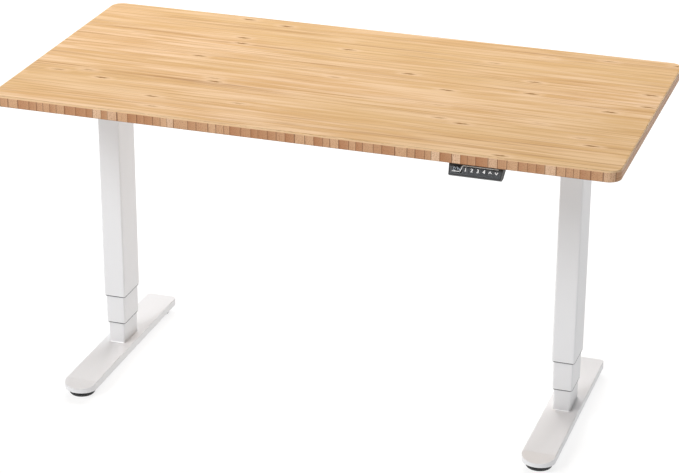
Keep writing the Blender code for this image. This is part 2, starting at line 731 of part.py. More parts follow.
def add_control_box(desk, frame):
    """The mounting plate, the cover that hangs from it, and the board inside."""
    outline = [rounded_rectangle(BOX_WIDE + 2 * BOX_EAR, BOX_DEEP, 6.0, 3)]
    for u in (-1, 1):
        for v in (-1, 1):
            outline.append(circle(BOX_HOLE, 12, (u * BOX_HOLE_AT[0], v * BOX_HOLE_AT[1])))
    at = (0.0, BOX_Y, CEILING - PLATE)
    desk.add("control_box_base", extruded(outline, 0.0, PLATE), desk.black, at, frame)
    high = CEILING - PLATE - GAP
    mesh = extruded([rounded_rectangle(BOX_WIDE, BOX_DEEP, 5.0, 3)], -BOX_TALL, 0.0)
    cover = desk.add("control_box_cover", mesh, desk.black, (0.0, BOX_Y, high), frame)
    inside = rounded_rectangle(BOX_WIDE - 2 * BOX_WALL, BOX_DEEP - 2 * BOX_WALL, 3.0, 3)
    desk.change(cover, extruded([inside], BOX_WALL - BOX_TALL, 2.0))
    for x in (-MOTOR_LEAD_X, KEYPAD_LEAD_X, MOTOR_LEAD_X):
        hole = circle(LEAD_HOLE, 16, (x, LEAD_Z - high))
        desk.change(cover, extruded([hole], -BOX_DEEP / 2 - 2.0, -BOX_DEEP / 2 + 5.0, IN_XZ))
    half = (INLET_BODY[0] + GAP, INLET_BODY[1] + GAP)
    centre = (INLET_Y - BOX_Y, INLET_Z - high)
    low = (centre[0] - half[0], centre[1] - half[1])
    window = rectangle(low, (centre[0] + half[0], centre[1] + half[1]))
    desk.change(cover, extruded([window], -BOX_WIDE / 2 - 2.0, -BOX_WIDE / 2 + 5.0, IN_YZ))
    at = (BOARD_X, BOX_Y, high - BOX_TALL + BOX_WALL + BOARD_RISE)
    mesh = extruded([rounded_rectangle(*BOARD_SIZE, 2.0, 2)], 0.0, BOARD_THICK)
    board = desk.add("control_board", mesh, desk.board, at, frame)
    for low, top in (TRANSFORMER, RELAY):
        desk.change(board, block(low, top), "UNION")
    for x in CAPACITOR_XS:
        can = circle(CAPACITOR_RADIUS, 16, (x, CAPACITOR_Y))
        desk.change(board, extruded([can], 1.0, CAPACITOR_HIGH), "UNION")


def add_mains_inlet(desk, frame):
    """The three-pin inlet in the control box's left end, recessed around its blades."""
    at = (-BOX_WIDE / 2, INLET_Y, INLET_Z)
    half_y, half_z = INLET_BODY
    mesh = block((-1.0, -half_y, -half_z), (INLET_LONG, half_y, half_z))
    inlet = desk.add("mains_inlet", mesh, desk.black, at, frame)
    half_y, half_z = INLET_RIM
    desk.change(inlet, block((-3.0 - GAP, -half_y, -half_z), (-GAP, half_y, half_z)), "UNION")
    half_y, half_z = INLET_RECESS
    desk.change(inlet, block((-6.0, -half_y, -half_z), (15.0, half_y, half_z)))
    half_y, half_z = BLADE_HALF
    for y, z in BLADES:
        blade = block((3.0, y - half_y, z - half_z), (16.0, y + half_y, z + half_z))
        desk.change(inlet, blade, "UNION")


# Keypad


def pad_face():
    """Length of the keypad's face and its angle from level, in radians."""
    run = PAD_TOP[0] - PAD_FRONT[0]
    rise = PAD_TOP[1] - PAD_FRONT[1]
    return math.hypot(run, rise), math.atan2(rise, run)


def pad_outline(inset):
    """The face's outline, narrower towards its lower edge, set in all round."""
    length = pad_face()[0]
    low = PAD_BOTTOM_HALF - inset
    high = PAD_TOP_HALF - inset
    return [(-low, inset), (low, inset), (high, length - inset), (-high, length - inset)]


def add_keypad_housing(desk, frame):
    """The wedge-shaped shell under the desktop's front edge, with its mounting flange."""
    lean = pad_face()[1]
    back = Vector((math.sin(lean), -math.cos(lean)))
    lowest = Vector(PAD_FRONT) + PAD_BODY * back
    flange_deep, flange_thick = PAD_FLANGE
    side_view = [
        PAD_FRONT,
        PAD_TOP,
        (PAD_REAR, CEILING),
        (PAD_REAR, CEILING - flange_thick),
        (PAD_REAR - flange_deep, CEILING - flange_thick),
        (PAD_BODY_REAR, lowest.y),
        tuple(lowest),
    ]
    outline = [(y - PAD_FRONT[0], z - PAD_FRONT[1]) for y, z in side_view]
    mesh = extruded([outline], -PAD_TOP_HALF, PAD_TOP_HALF, IN_YZ)
    at = (PAD_X, *PAD_FRONT)
    shell = desk.add("keypad_housing", mesh, desk.black, at, frame)
    length = pad_face()[0]
    for side in (LEFT, RIGHT):
        slope = [
            (side * PAD_BOTTOM_HALF, 0.0),
            (side * PAD_TOP_HALF, length),
            (side * (PAD_TOP_HALF + 6.0), length),
            (side * (PAD_TOP_HALF + 6.0), -16.0),
            (side * (PAD_BOTTOM_HALF - 1.4), -16.0),
        ]
        trim = extruded([slope], -60.0, 6.0)
        trim.transform(Matrix.Rotation(lean, 4, "X"))
        desk.change(shell, trim)
    cavity = extruded([pad_outline(PAD_RIM)], -PAD_CAVITY, 2.0)
    cavity.transform(Matrix.Rotation(lean, 4, "X"))
    desk.change(shell, cavity)
    spot = (PAD_LEAD_X - PAD_X, PAD_LEAD_Z - PAD_FRONT[1])
    lead_hole = circle(PAD_LEAD_RADIUS + 2 * GAP, 16, spot)
    desk.change(shell, extruded([lead_hole], 15.0, 60.0, IN_XZ))
    for x in (-PAD_SCREW_X, PAD_SCREW_X):
        spot = (x, PAD_REAR - PAD_SCREW_INSET - PAD_FRONT[0])
        screw_hole = circle(PAD_SCREW_HOLE, 12, spot)
        desk.change(shell, extruded([screw_hole], 16.0, 30.0))


def key_centres():
    """The key names with their x on the face."""
    return [(name, KEY_FIRST + index * KEY_PITCH) for index, name in enumerate(KEY_NAMES)]


def add_faceplate(desk, face):
    """The flat front panel, with an opening for each key and one for the display."""
    loops = [pad_outline(PAD_RIM + GAP)]
    openings = [(KEY_SIZE, x) for _, x in key_centres()]
    for (width, height), x in (*openings, (DISPLAY_SIZE, DISPLAY_X)):
        room = (width + 2 * GAP, height + 2 * GAP)
        loops.append(rounded_rectangle(*room, 1.0, 3, (x, KEY_ROW)))
    mesh = extruded(loops, -PLATE_THICK, 0.0)
    desk.add_on_face("keypad_faceplate", mesh, desk.charcoal, (0.0, 0.0, 0.0), face)


def add_keys(desk, face):
    """Six push keys, each with a lip behind the panel that keeps it in."""
    for name, x in key_centres():
        cap = extruded([rounded_rectangle(*KEY_SIZE, 0.8, 3)], -KEY_THICK, 0.0)
        key = desk.add_on_face(name, cap, desk.charcoal, (x, KEY_ROW, 0.0), face)
        reach, thick = KEY_LIP
        lip = rounded_rectangle(KEY_SIZE[0] + 2 * reach, KEY_SIZE[1] + 2 * reach, 0.8, 2)
        behind = -PLATE_THICK - GAP
        desk.change(key, extruded([lip], behind - thick, behind), "UNION")


def add_keypad_inside(desk, face):
    """The display behind its window, and the board with a switch under each key."""
    window = rounded_rectangle(*DISPLAY_SIZE, 0.8, 3)
    display = extruded([window], -0.1 - DISPLAY_THICK, -0.1)
    desk.add_on_face("keypad_display", display, desk.smoked, (DISPLAY_X, KEY_ROW, 0.0), face)
    board = extruded([pad_outline(PAD_RIM + 1.0)], *PAD_BOARD)
    made = desk.add_on_face("keypad_board", board, desk.board, (0.0, 0.0, 0.0), face)
    for _, x in key_centres():
        low = (x - SWITCH_HALF, KEY_ROW - SWITCH_HALF)
        switch = rectangle(low, (x + SWITCH_HALF, KEY_ROW + SWITCH_HALF))
        desk.change(made, extruded([switch], -6.5, -4.0), "UNION")


# Leads


def add_leads(desk, frame):
    """The two motor leads and the keypad's lead, all clipped up under the desktop."""
    end_y = BOX_Y - BOX_DEEP / 2 + 7.0
    rail_y = RAIL_YS["rear"] - RAIL_DEEP / 2 - MOTOR_LEAD_RADIUS - 1.0
    for side in (LEFT, RIGHT):
        start = COLUMN_X - HOUSING_IN - GAP - MOTOR_LONG
        points = [
            (side * (start + 7.0), 0.0, GEAR_HEIGHT),
            (side * (start - 1.0), 0.0, GEAR_HEIGHT),
            (side * (start - 6.0), 0.5, GEAR_HEIGHT),
            (side * (start - 16.0), 8.0, GEAR_HEIGHT - 2.0),
            (side * (start - 30.0), rail_y - 4.0, GEAR_HEIGHT - 7.0),
            (side * (start - 52.0), rail_y, GEAR_HEIGHT - 10.0),
            (side * (start - 120.0), rail_y, GEAR_HEIGHT - 10.0),
            (side * (start - 220.0), rail_y, GEAR_HEIGHT - 10.0),
            (side * 110.0, rail_y, GEAR_HEIGHT - 10.0),
            (side * 96.0, rail_y - 1.0, GEAR_HEIGHT - 14.0),
            (side * 86.0, rail_y - 1.0, GEAR_HEIGHT - 22.5),
            (side * 76.0, rail_y + 6.0, GEAR_HEIGHT - 25.0),
            (side * 67.0, rail_y + 22.0, GEAR_HEIGHT - 25.0),
            (side * 62.5, rail_y + 33.0, GEAR_HEIGHT - 20.0),
            (side * 60.5, rail_y + 40.0, GEAR_HEIGHT - 8.0),
            (side * MOTOR_LEAD_X, rail_y + 46.0, LEAD_Z - 2.5),
            (side * MOTOR_LEAD_X, end_y - 14.0, LEAD_Z),
            (side * MOTOR_LEAD_X, end_y - 9.0, LEAD_Z),
            (side * MOTOR_LEAD_X, end_y, LEAD_Z),
        ]
        mesh = tube_along(smooth_route(points, 3), MOTOR_LEAD_RADIUS)
        desk.add(f"{SIDE_NAMES[side]}_motor_lead", mesh, desk.black, (0.0, 0.0, 0.0), frame)
    high = UNDER - PAD_LEAD_RADIUS - 0.6
    points = [
        (PAD_LEAD_X, -330.5, PAD_LEAD_Z),
        (PAD_LEAD_X, -318.0, PAD_LEAD_Z),
        (PAD_LEAD_X - 1.0, -304.0, PAD_LEAD_Z - 0.5),
        (PAD_LEAD_X - 6.0, -284.0, PAD_LEAD_Z + 2.0),
        (PAD_LEAD_X - 14.0, -264.0, high - 1.0),
        (PAD_LEAD_X - 24.0, -244.0, high),
        (PAD_LEAD_X - 50.0, -200.0, high),
        (260.0, -125.0, high),
        (196.0, -100.0, high),
        (140.0, -60.0, high),
        (60.0, 10.0, high),
        (16.0, 50.0, high),
        (4.0, 66.0, high - 2.5),
        (0.5, 78.0, LEAD_Z + 5.0),
        (KEYPAD_LEAD_X, end_y - 14.0, LEAD_Z),
        (KEYPAD_LEAD_X, end_y - 9.0, LEAD_Z),
        (KEYPAD_LEAD_X, end_y, LEAD_Z),
    ]
    mesh = tube_along(smooth_route(points, 3), PAD_LEAD_RADIUS)
    desk.add("keypad_lead", mesh, desk.black, (0.0, 0.0, 0.0), frame)


# Assembly


def add_column(desk, bodies, side):
    """One column with its foot, its screws and its gearbox, each piece under its own body."""
    frame = bodies["lift_frame"]
    middle = bodies[f"{SIDE_NAMES[side]}_middle"]
    base = bodies[f"{SIDE_NAMES[side]}_base"]
    name = SIDE_NAMES[side]
    axis = (side * COLUMN_X, COLUMN_Y)
    add_tube(desk, frame, "outer", side, 0.0, OUTER_LOW, OUTER_HIGH)
    add_tube(desk, middle, "middle", side, STAGE_STEP, MIDDLE_LOW, MIDDLE_HIGH)
    add_tube(desk, base, "lower", side, 2 * STAGE_STEP, FOOT_HIGH + GAP, LOWER_HIGH)
    add_liner(desk, frame, "outer", side, 0.0, OUTER_LOW)
    add_liner(desk, middle, "middle", side, STAGE_STEP, MIDDLE_LOW)
    add_nut(desk, middle, "upper", side, STAGE_STEP, MIDDLE_HIGH, SCREW_RADIUS)
    add_nut(desk, base, "lower", side, 2 * STAGE_STEP, LOWER_HIGH, SLEEVE_RADIUS)
    upper = desk.pivot(f"{name}_upper_drive", (*axis, GEAR_HEIGHT), frame)
    lower = desk.pivot(f"{name}_lower_drive", (*axis, MIDDLE_HIGH), middle)
    worm = desk.pivot(f"{name}_worm_drive", (side * COLUMN_X, 0.0, GEAR_HEIGHT), frame)
    add_upper_screw(desk, upper, side)
    add_worm_wheel(desk, upper, side)
    add_lower_screw(desk, lower, side)
    add_worm_shaft(desk, worm, side)
    add_gear_housing(desk, frame, side)
    add_motor(desk, frame, side)
    add_column_head(desk, frame, side)
    add_side_bracket(desk, frame, side)
    add_foot(desk, base, side)
    for end in GLIDE_YS:
        add_glide(desk, base, side, end)


def main():
    """Builds the desk, one body at a time."""
    clear_scene()
    desk = Desk()
    bodies = {"lift_frame": desk.pivot("lift_frame", (0.0, 0.0, UNDER))}
    for side in (LEFT, RIGHT):
        name = SIDE_NAMES[side]
        at = (side * COLUMN_X, COLUMN_Y)
        bodies[f"{name}_middle"] = desk.pivot(f"{name}_middle", (*at, MIDDLE_LOW))
        bodies[f"{name}_base"] = desk.pivot(f"{name}_base", (*at, FOOT_LOW))
    frame = bodies["lift_frame"]
    add_desktop(desk, frame)
    for name, y in RAIL_YS.items():
        add_rail_pair(desk, frame, name, y)
    for side in (LEFT, RIGHT):
        add_column(desk, bodies, side)
    add_control_box(desk, frame)
    add_mains_inlet(desk, frame)
    face = desk.pivot("keypad_face", (PAD_X, *PAD_FRONT), frame, pad_face()[1])
    add_keypad_housing(desk, frame)
    add_faceplate(desk, face)
    add_keys(desk, face)
    add_keypad_inside(desk, face)
    add_leads(desk, frame)


main()
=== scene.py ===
"""The looks of an electric height adjustable desk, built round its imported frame.

The frame's own nodes keep their shape and get their real finishes. What they leave out is added here:
screws and bolts, weld beads, glides with a grip and a threaded stud, strain reliefs, lead clips, the
ribs and lamp of the control box, and the marks of the keypad. Sizes are in millimetres until a mesh is
written. Each new surface is a grid of two parameters, or a section carried along a path.
"""

import logging
import math
from collections.abc import Iterable, Sequence
from dataclasses import dataclass
from enum import Enum
from functools import partial

import bmesh
import bpy
import numpy as np
from mathutils import Matrix, Vector


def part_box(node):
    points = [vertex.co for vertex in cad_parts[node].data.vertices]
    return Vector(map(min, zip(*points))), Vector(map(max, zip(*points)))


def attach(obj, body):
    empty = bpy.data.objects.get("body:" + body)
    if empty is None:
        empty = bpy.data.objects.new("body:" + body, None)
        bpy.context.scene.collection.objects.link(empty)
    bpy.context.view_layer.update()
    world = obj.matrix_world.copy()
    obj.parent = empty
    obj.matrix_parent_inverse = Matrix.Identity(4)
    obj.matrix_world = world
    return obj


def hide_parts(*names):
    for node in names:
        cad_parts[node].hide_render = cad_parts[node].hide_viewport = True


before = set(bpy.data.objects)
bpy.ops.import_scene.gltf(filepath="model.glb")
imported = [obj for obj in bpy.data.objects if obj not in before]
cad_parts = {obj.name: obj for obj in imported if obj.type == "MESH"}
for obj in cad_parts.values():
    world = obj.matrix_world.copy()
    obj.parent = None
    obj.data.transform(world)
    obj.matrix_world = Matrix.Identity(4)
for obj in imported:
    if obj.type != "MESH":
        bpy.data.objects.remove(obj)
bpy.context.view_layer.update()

log = logging.getLogger("desk")
MM = 0.001
SIDES = {"left": -1, "right": 1}
ENDS = ("front", "rear")
SHARP_ANGLE = math.radians(35.0)
MERGE_WITHIN = 1e-7
BUMP_DEEP = 0.0002
# The rail bolts' width across flats and height.
RAIL_BOLT = (10.0, 5.0)


# ---------------------------------------------------------------------------------------------
# Surfaces


class Facing(Enum):
    """The way a piece's own Z axis points once it is placed: each value is a 3 by 3 turn."""

    UP = ((1, 0, 0), (0, 1, 0), (0, 0, 1))
    DOWN = ((1, 0, 0), (0, -1, 0), (0, 0, -1))
    FRONT = ((1, 0, 0), (0, 0, -1), (0, 1, 0))
    REAR = ((-1, 0, 0), (0, 0, 1), (0, 1, 0))
    RIGHT = ((0, 0, 1), (1, 0, 0), (0, 1, 0))
    LEFT = ((0, 0, -1), (-1, 0, 0), (0, 1, 0))

    def at(self, x: float, y: float, z: float) -> np.ndarray:
        """The 4 by 4 placement of a piece that faces this way at a point in millimetres."""
        placed = np.eye(4)
        placed[:3, :3] = self.value
        placed[:3, 3] = (x, y, z)
        return placed


@dataclass(frozen=True)
class Shell:
    """A closed surface: its points in millimetres, and four-sided faces that point outwards."""

    points: np.ndarray
    faces: np.ndarray

    @classmethod
    def of_grid(cls, grid: np.ndarray) -> "Shell":
        """Closes a grid of points round its columns.

        Args:
            grid: rows by columns by 3. A row whose points all meet is a pole, which closes that end.

        Returns:
            The shell. Columns run anticlockwise as seen from the end where the rows finish.
        """
        rows, columns = grid.shape[:2]
        index = np.arange(rows * columns).reshape(rows, columns)
        beside = np.roll(index, -1, axis=1)
        quads = np.stack([index[:-1], beside[:-1], beside[1:], index[1:]], axis=-1)
        return cls(grid.reshape(-1, 3), quads.reshape(-1, 4))

    @classmethod
    def of_ring(cls, grid: np.ndarray) -> "Shell":
        """Closes a grid of points round its columns and from its last row back to its first."""
        rows, columns = grid.shape[:2]
        index = np.arange(rows * columns).reshape(rows, columns)
        beside = np.roll(index, -1, axis=1)
        above, across = np.roll(index, -1, axis=0), np.roll(beside, -1, axis=0)
        quads = np.stack([index, beside, across, above], axis=-1)
        return cls(grid.reshape(-1, 3), quads.reshape(-1, 4))

    def repeated(self, places: Sequence[np.ndarray]) -> "Shell":
        """Copies of this shell, one at each 4 by 4 placement, as one shell."""
        turns = np.array(places)
        points = np.einsum("kij,nj->kni", turns[:, :3, :3], self.points) + turns[:, None, :3, 3]
        steps = np.arange(len(places))[:, None, None] * len(self.points)
        return Shell(points.reshape(-1, 3), (self.faces[None] + steps).reshape(-1, 4))

    def placed(self, place: np.ndarray) -> "Shell":
        """This shell at one placement."""
        return self.repeated([place])


def joined(shells: Iterable[Shell]) -> Shell:
    """Several shells as one, each keeping its own points."""
    parts = list(shells)
    starts = np.cumsum([0] + [len(part.points) for part in parts[:-1]])
    faces = [part.faces + start for part, start in zip(parts, starts)]
    return Shell(np.concatenate([part.points for part in parts]), np.concatenate(faces))


def turned(profile: Sequence[Sequence[float]], steps: int = 24, lobes: int = 6) -> Shell:
    """A profile turned about Z.

    Row by row the radius is r times 1 + f (p(angle) - 1), where p is the outline of a regular
    polygon with that many sides inside the unit circle and f is the row's share of it.

    Args:
        profile: rows of (radius, height) or (radius, height, polygon share), from the bottom's
            centre out, up and back to the top's centre.
        steps: points round the axis.
        lobes: sides of the polygon.

    Returns:
        The shell, closed by poles where the radius is 0.
    """
    rows = np.array([tuple(row) + (0.0,) * (3 - len(row)) for row in profile])
    angle = np.arange(steps) * 2 * np.pi / steps
    half = np.pi / lobes
    polygon = np.cos(half) / np.cos(np.mod(angle, 2 * half) - half)
    radius = rows[:, :1] * (1 + rows[:, 2:] * (polygon - 1))
    height = np.broadcast_to(rows[:, 1:2], radius.shape)
    return Shell.of_grid(np.stack([radius * np.cos(angle), radius * np.sin(angle), height], axis=-1))


def rounded_outline(width: float, depth: float, radius: float, steps: int = 5) -> np.ndarray:
    """A rounded rectangle about the origin, anticlockwise: corner centres plus quarter circles."""
    quarter = np.linspace(0.0, np.pi / 2, steps)
    angle = quarter[None] + np.arange(4)[:, None] * np.pi / 2
    signs = np.array([(1, 1), (-1, 1), (-1, -1), (1, -1)])
    centre = signs * (np.array([width, depth]) / 2 - radius)
    points = centre[:, None] + radius * np.stack([np.cos(angle), np.sin(angle)], axis=-1)
    return points.reshape(-1, 2)


def moulding(width: float, depth: float, radius: float, profile: Sequence[Sequence[float]]) -> Shell:
    """A rounded rectangle carried up a profile: each row is the outline drawn in by an inset, at a height.

    Args:
        width: outer size along X.
        depth: outer size along Y.
        radius: corner radius of the outer outline.
        profile: rows of (inset, height). The first and the last row close on the centre.

    Returns:
        The shell.
    """
    rows = []
    for inset, height in profile:
        corner = max(radius - inset, 0.05)
        ring = rounded_outline(width - 2 * inset, depth - 2 * inset, corner)
        rows.append(np.column_stack([ring, np.full(len(ring), height)]))
    poles = [np.broadcast_to(row.mean(axis=0), row.shape) for row in (rows[0], rows[-1])]
    return Shell.of_grid(np.stack([poles[0], *rows, poles[1]]))


def pillow(width: float, depth: float, radius: float, tall: float, ease: float) -> Shell:
    """A slab with rounded corners and eased upper edges, standing on z = 0."""
    rows = [(0.0, 0.0), (0.0, tall - ease), (0.3 * ease, tall - 0.3 * ease), (ease, tall)]
    return moulding(width, depth, radius, rows)


def ribbon(path: np.ndarray, width: float, low: float, high: float) -> Shell:
    """A flat bar along an open path in X and Y.

    Each station holds the four corners at path + or - half the width along the path's left-hand
    normal, at the low and high heights. Both ends close on their middle.

    Args:
        path: n by 2 points.
        width: width of the bar.
        low: height of its underside.
        high: height of its upper side.

    Returns:
        The shell.
    """
    along = np.gradient(path, axis=0)
    along /= np.linalg.norm(along, axis=1, keepdims=True)
    left = np.column_stack([-along[:, 1], along[:, 0]]) * width / 2
    corners = [(left, low), (left, high), (-left, high), (-left, low)]
    rings = [np.column_stack([path + shift, np.full(len(path), z)]) for shift, z in corners]
    grid = np.stack(rings, axis=1)
    poles = [np.broadcast_to(row.mean(axis=0), row.shape) for row in (grid[0], grid[-1])]
    return Shell.of_grid(np.concatenate([poles[0][None], grid, poles[1][None]]))


def collar(outline: np.ndarray, section: np.ndarray) -> Shell:
    """A section carried round a closed outline in X and Y.

    The point at outline place t and section place s is outline(t) + s_out times the outward normal,
    at height s_up.

    Args:
        outline: n by 2 points, anticlockwise.
        section: m by 2 points (out, up), clockwise.

    Returns:
        The shell, a ring.
    """
    along = np.roll(outline, -1, axis=0) - np.roll(outline, 1, axis=0)
    along /= np.linalg.norm(along, axis=1, keepdims=True)
    outward = np.column_stack([along[:, 1], -along[:, 0]])
    flat = outline[:, None] + outward[:, None] * section[None, :, :1]
    height = np.broadcast_to(section[None, :, 1:], (*flat.shape[:2], 1))
    return Shell.of_ring(np.concatenate([flat, height], axis=-1))


def threaded(radius: float, depth: float, pitch: float, long: float, steps: int = 20) -> Shell:
    """A threaded rod about Z from 0 up.

    The radius at angle a and height z is r - d (1 - tri(z / pitch - a / 2 pi)), where tri rises and
    falls once in each turn, and both ends taper to the thread's root.

    Args:
        radius: crest radius.
        depth: depth of the thread.
        pitch: height of one turn.
        long: length of the rod.
        steps: points round the axis.

    Returns:
        The shell.
    """
    rows = int(long / pitch * 6)
    height, angle = np.meshgrid(
        np.linspace(0.0, long, rows), np.arange(steps) * 2 * np.pi / steps, indexing="ij"
    )
    phase = np.mod(height / pitch - angle / (2 * np.pi), 1.0)
    ridge = 1 - np.abs(2 * phase - 1)
    taper = np.clip(np.minimum(height, long - height) / pitch, 0.0, 1.0)
    size = radius - depth * (1 - ridge * taper)
    grid = np.stack([size * np.cos(angle), size * np.sin(angle), height], axis=-1)
    poles = [np.broadcast_to(row.mean(axis=0), row.shape)[None] for row in (grid[0], grid[-1])]
    return Shell.of_grid(np.concatenate([poles[0], grid, poles[1]]))


# ---------------------------------------------------------------------------------------------
# Finishes


def linear(code: str) -> tuple[float, float, float, float]:
    """A colour given as an sRGB hex code, as linear numbers."""
    parts = np.array([int(code[i : i + 2], 16) for i in (1, 3, 5)]) / 255
    made = np.where(parts <= 0.04045, parts / 12.92, ((parts + 0.055) / 1.055) ** 2.4)
    return (*made.tolist(), 1.0)


def add_node(tree, kind: str, settings: dict = None, links: dict = None, output: int | str = 0):
    """Adds a shader node with its settings and links.

    Args:
        tree: the material's node tree.
        kind: the node's type without its ShaderNode prefix.
        settings: values by property name, or by input name or number.
        links: sockets by input name or number.
        output: the output to return.

    Returns:
        That output socket, or the node itself where it has no outputs.
    """
    node = tree.nodes.new(f"ShaderNode{kind}")
    for key, value in (settings or {}).items():
        if isinstance(key, str) and hasattr(node, key):
            setattr(node, key, value)
        else:
            node.inputs[key].default_value = value
    for key, source in (links or {}).items():
        tree.links.new(source, node.inputs[key])
    return node.outputs[output] if len(node.outputs) else node


class Finish:
    """A surface finish. A subclass has a name, the record's slot for it, and wires its pattern."""

    name: str
    slot: str

    def material(self) -> bpy.types.Material:
        """The finish as a material, made once."""
        found = bpy.data.materials.get(self.name)
        if found:
            return found
        made = bpy.data.materials.new(self.name)
        made.use_nodes = True
        tree = made.node_tree
        tree.nodes.clear()
        shader = add_node(tree, "BsdfPrincipled").node
        add_node(tree, "OutputMaterial", links={"Surface": shader.outputs[0]})
        self.wire(tree, shader)
        return made

    def wire(self, tree, shader) -> None:
        """Sets the shader's sockets."""
        raise NotImplementedError


def add_pattern(tree, frequency: Sequence[float], detail: float = 3.0):
    """Noise on Object coordinates, from 0 to 1, with this many cycles in a metre along each axis."""
    place = add_node(tree, "TexCoord", output="Object")
    scaled = add_node(tree, "Mapping", {"Scale": tuple(frequency)}, {"Vector": place})
    settings = {"Scale": 1.0, "Detail": detail, "Roughness": 0.55}
    return add_node(tree, "TexNoise", settings, {"Vector": scaled})


def add_edge_mask(tree, radius_mm: float):
    """1 on convex and concave edges, 0 on flats: how far a rounded normal leaves the true one."""
    rounded = add_node(tree, "Bevel", {"samples": 4, "Radius": radius_mm * MM})
    true = add_node(tree, "NewGeometry", output="True Normal")
    same = add_node(tree, "VectorMath", {"operation": "DOT_PRODUCT"}, {0: rounded, 1: true}, "Value")
    settings = {"From Min": 1.0, "From Max": 0.72, "To Min": 0.0, "To Max": 1.0}
    return rounded, add_node(tree, "MapRange", settings, {"Value": same})


def add_mix(tree, share, low, high, most: float = 1.0):
    """A colour between two others.

    Args:
        tree: the material's node tree.
        share: a socket, 0 for the low colour and 1 for the high one.
        low: a hex code or a socket.
        high: a hex code or a socket.
        most: how much of the high colour shows where the share is 1.

    Returns:
        The mixed colour's socket.
    """
    if most < 1.0:
        share = add_math(tree, "MULTIPLY", share, most)
    settings, links = {"data_type": "RGBA"}, {0: share}
    for index, colour in ((6, low), (7, high)):
        if isinstance(colour, str):
            settings[index] = linear(colour)
        else:
            links[index] = colour
    return add_node(tree, "Mix", settings, links, 2)


def add_math(tree, operation: str, first, second, clamp: bool = False):
    """One step of arithmetic on two sockets or numbers."""
    settings, links = {"operation": operation, "use_clamp": clamp}, {}
    for index, value in enumerate((first, second)):
        (settings if isinstance(value, (int, float)) else links)[index] = value
    return add_node(tree, "Math", settings, links)


def add_range(tree, value, start: float, end: float, low: float = 0.0, high: float = 1.0):
    """A value carried from one range to another, clamped."""
    settings = {"From Min": start, "From Max": end, "To Min": low, "To Max": high}
    return add_node(tree, "MapRange", settings, {"Value": value})


def add_bump(tree, height, strength: float, normal=None, deep: float = BUMP_DEEP):
    """A normal bent by a height pattern, from a given normal or the surface's own."""
    links = {"Height": height}
    if normal:
        links["Normal"] = normal
    return add_node(tree, "Bump", {"Strength": strength, "Distance": deep}, links)


def fill(tree, shader, values: dict) -> None:
    """Sets the shader's sockets by name: a socket is linked, and a number is its value."""
    for name, value in values.items():
        if isinstance(value, bpy.types.NodeSocket):
            tree.links.new(value, shader.inputs[name])
        else:
            shader.inputs[name].default_value = value


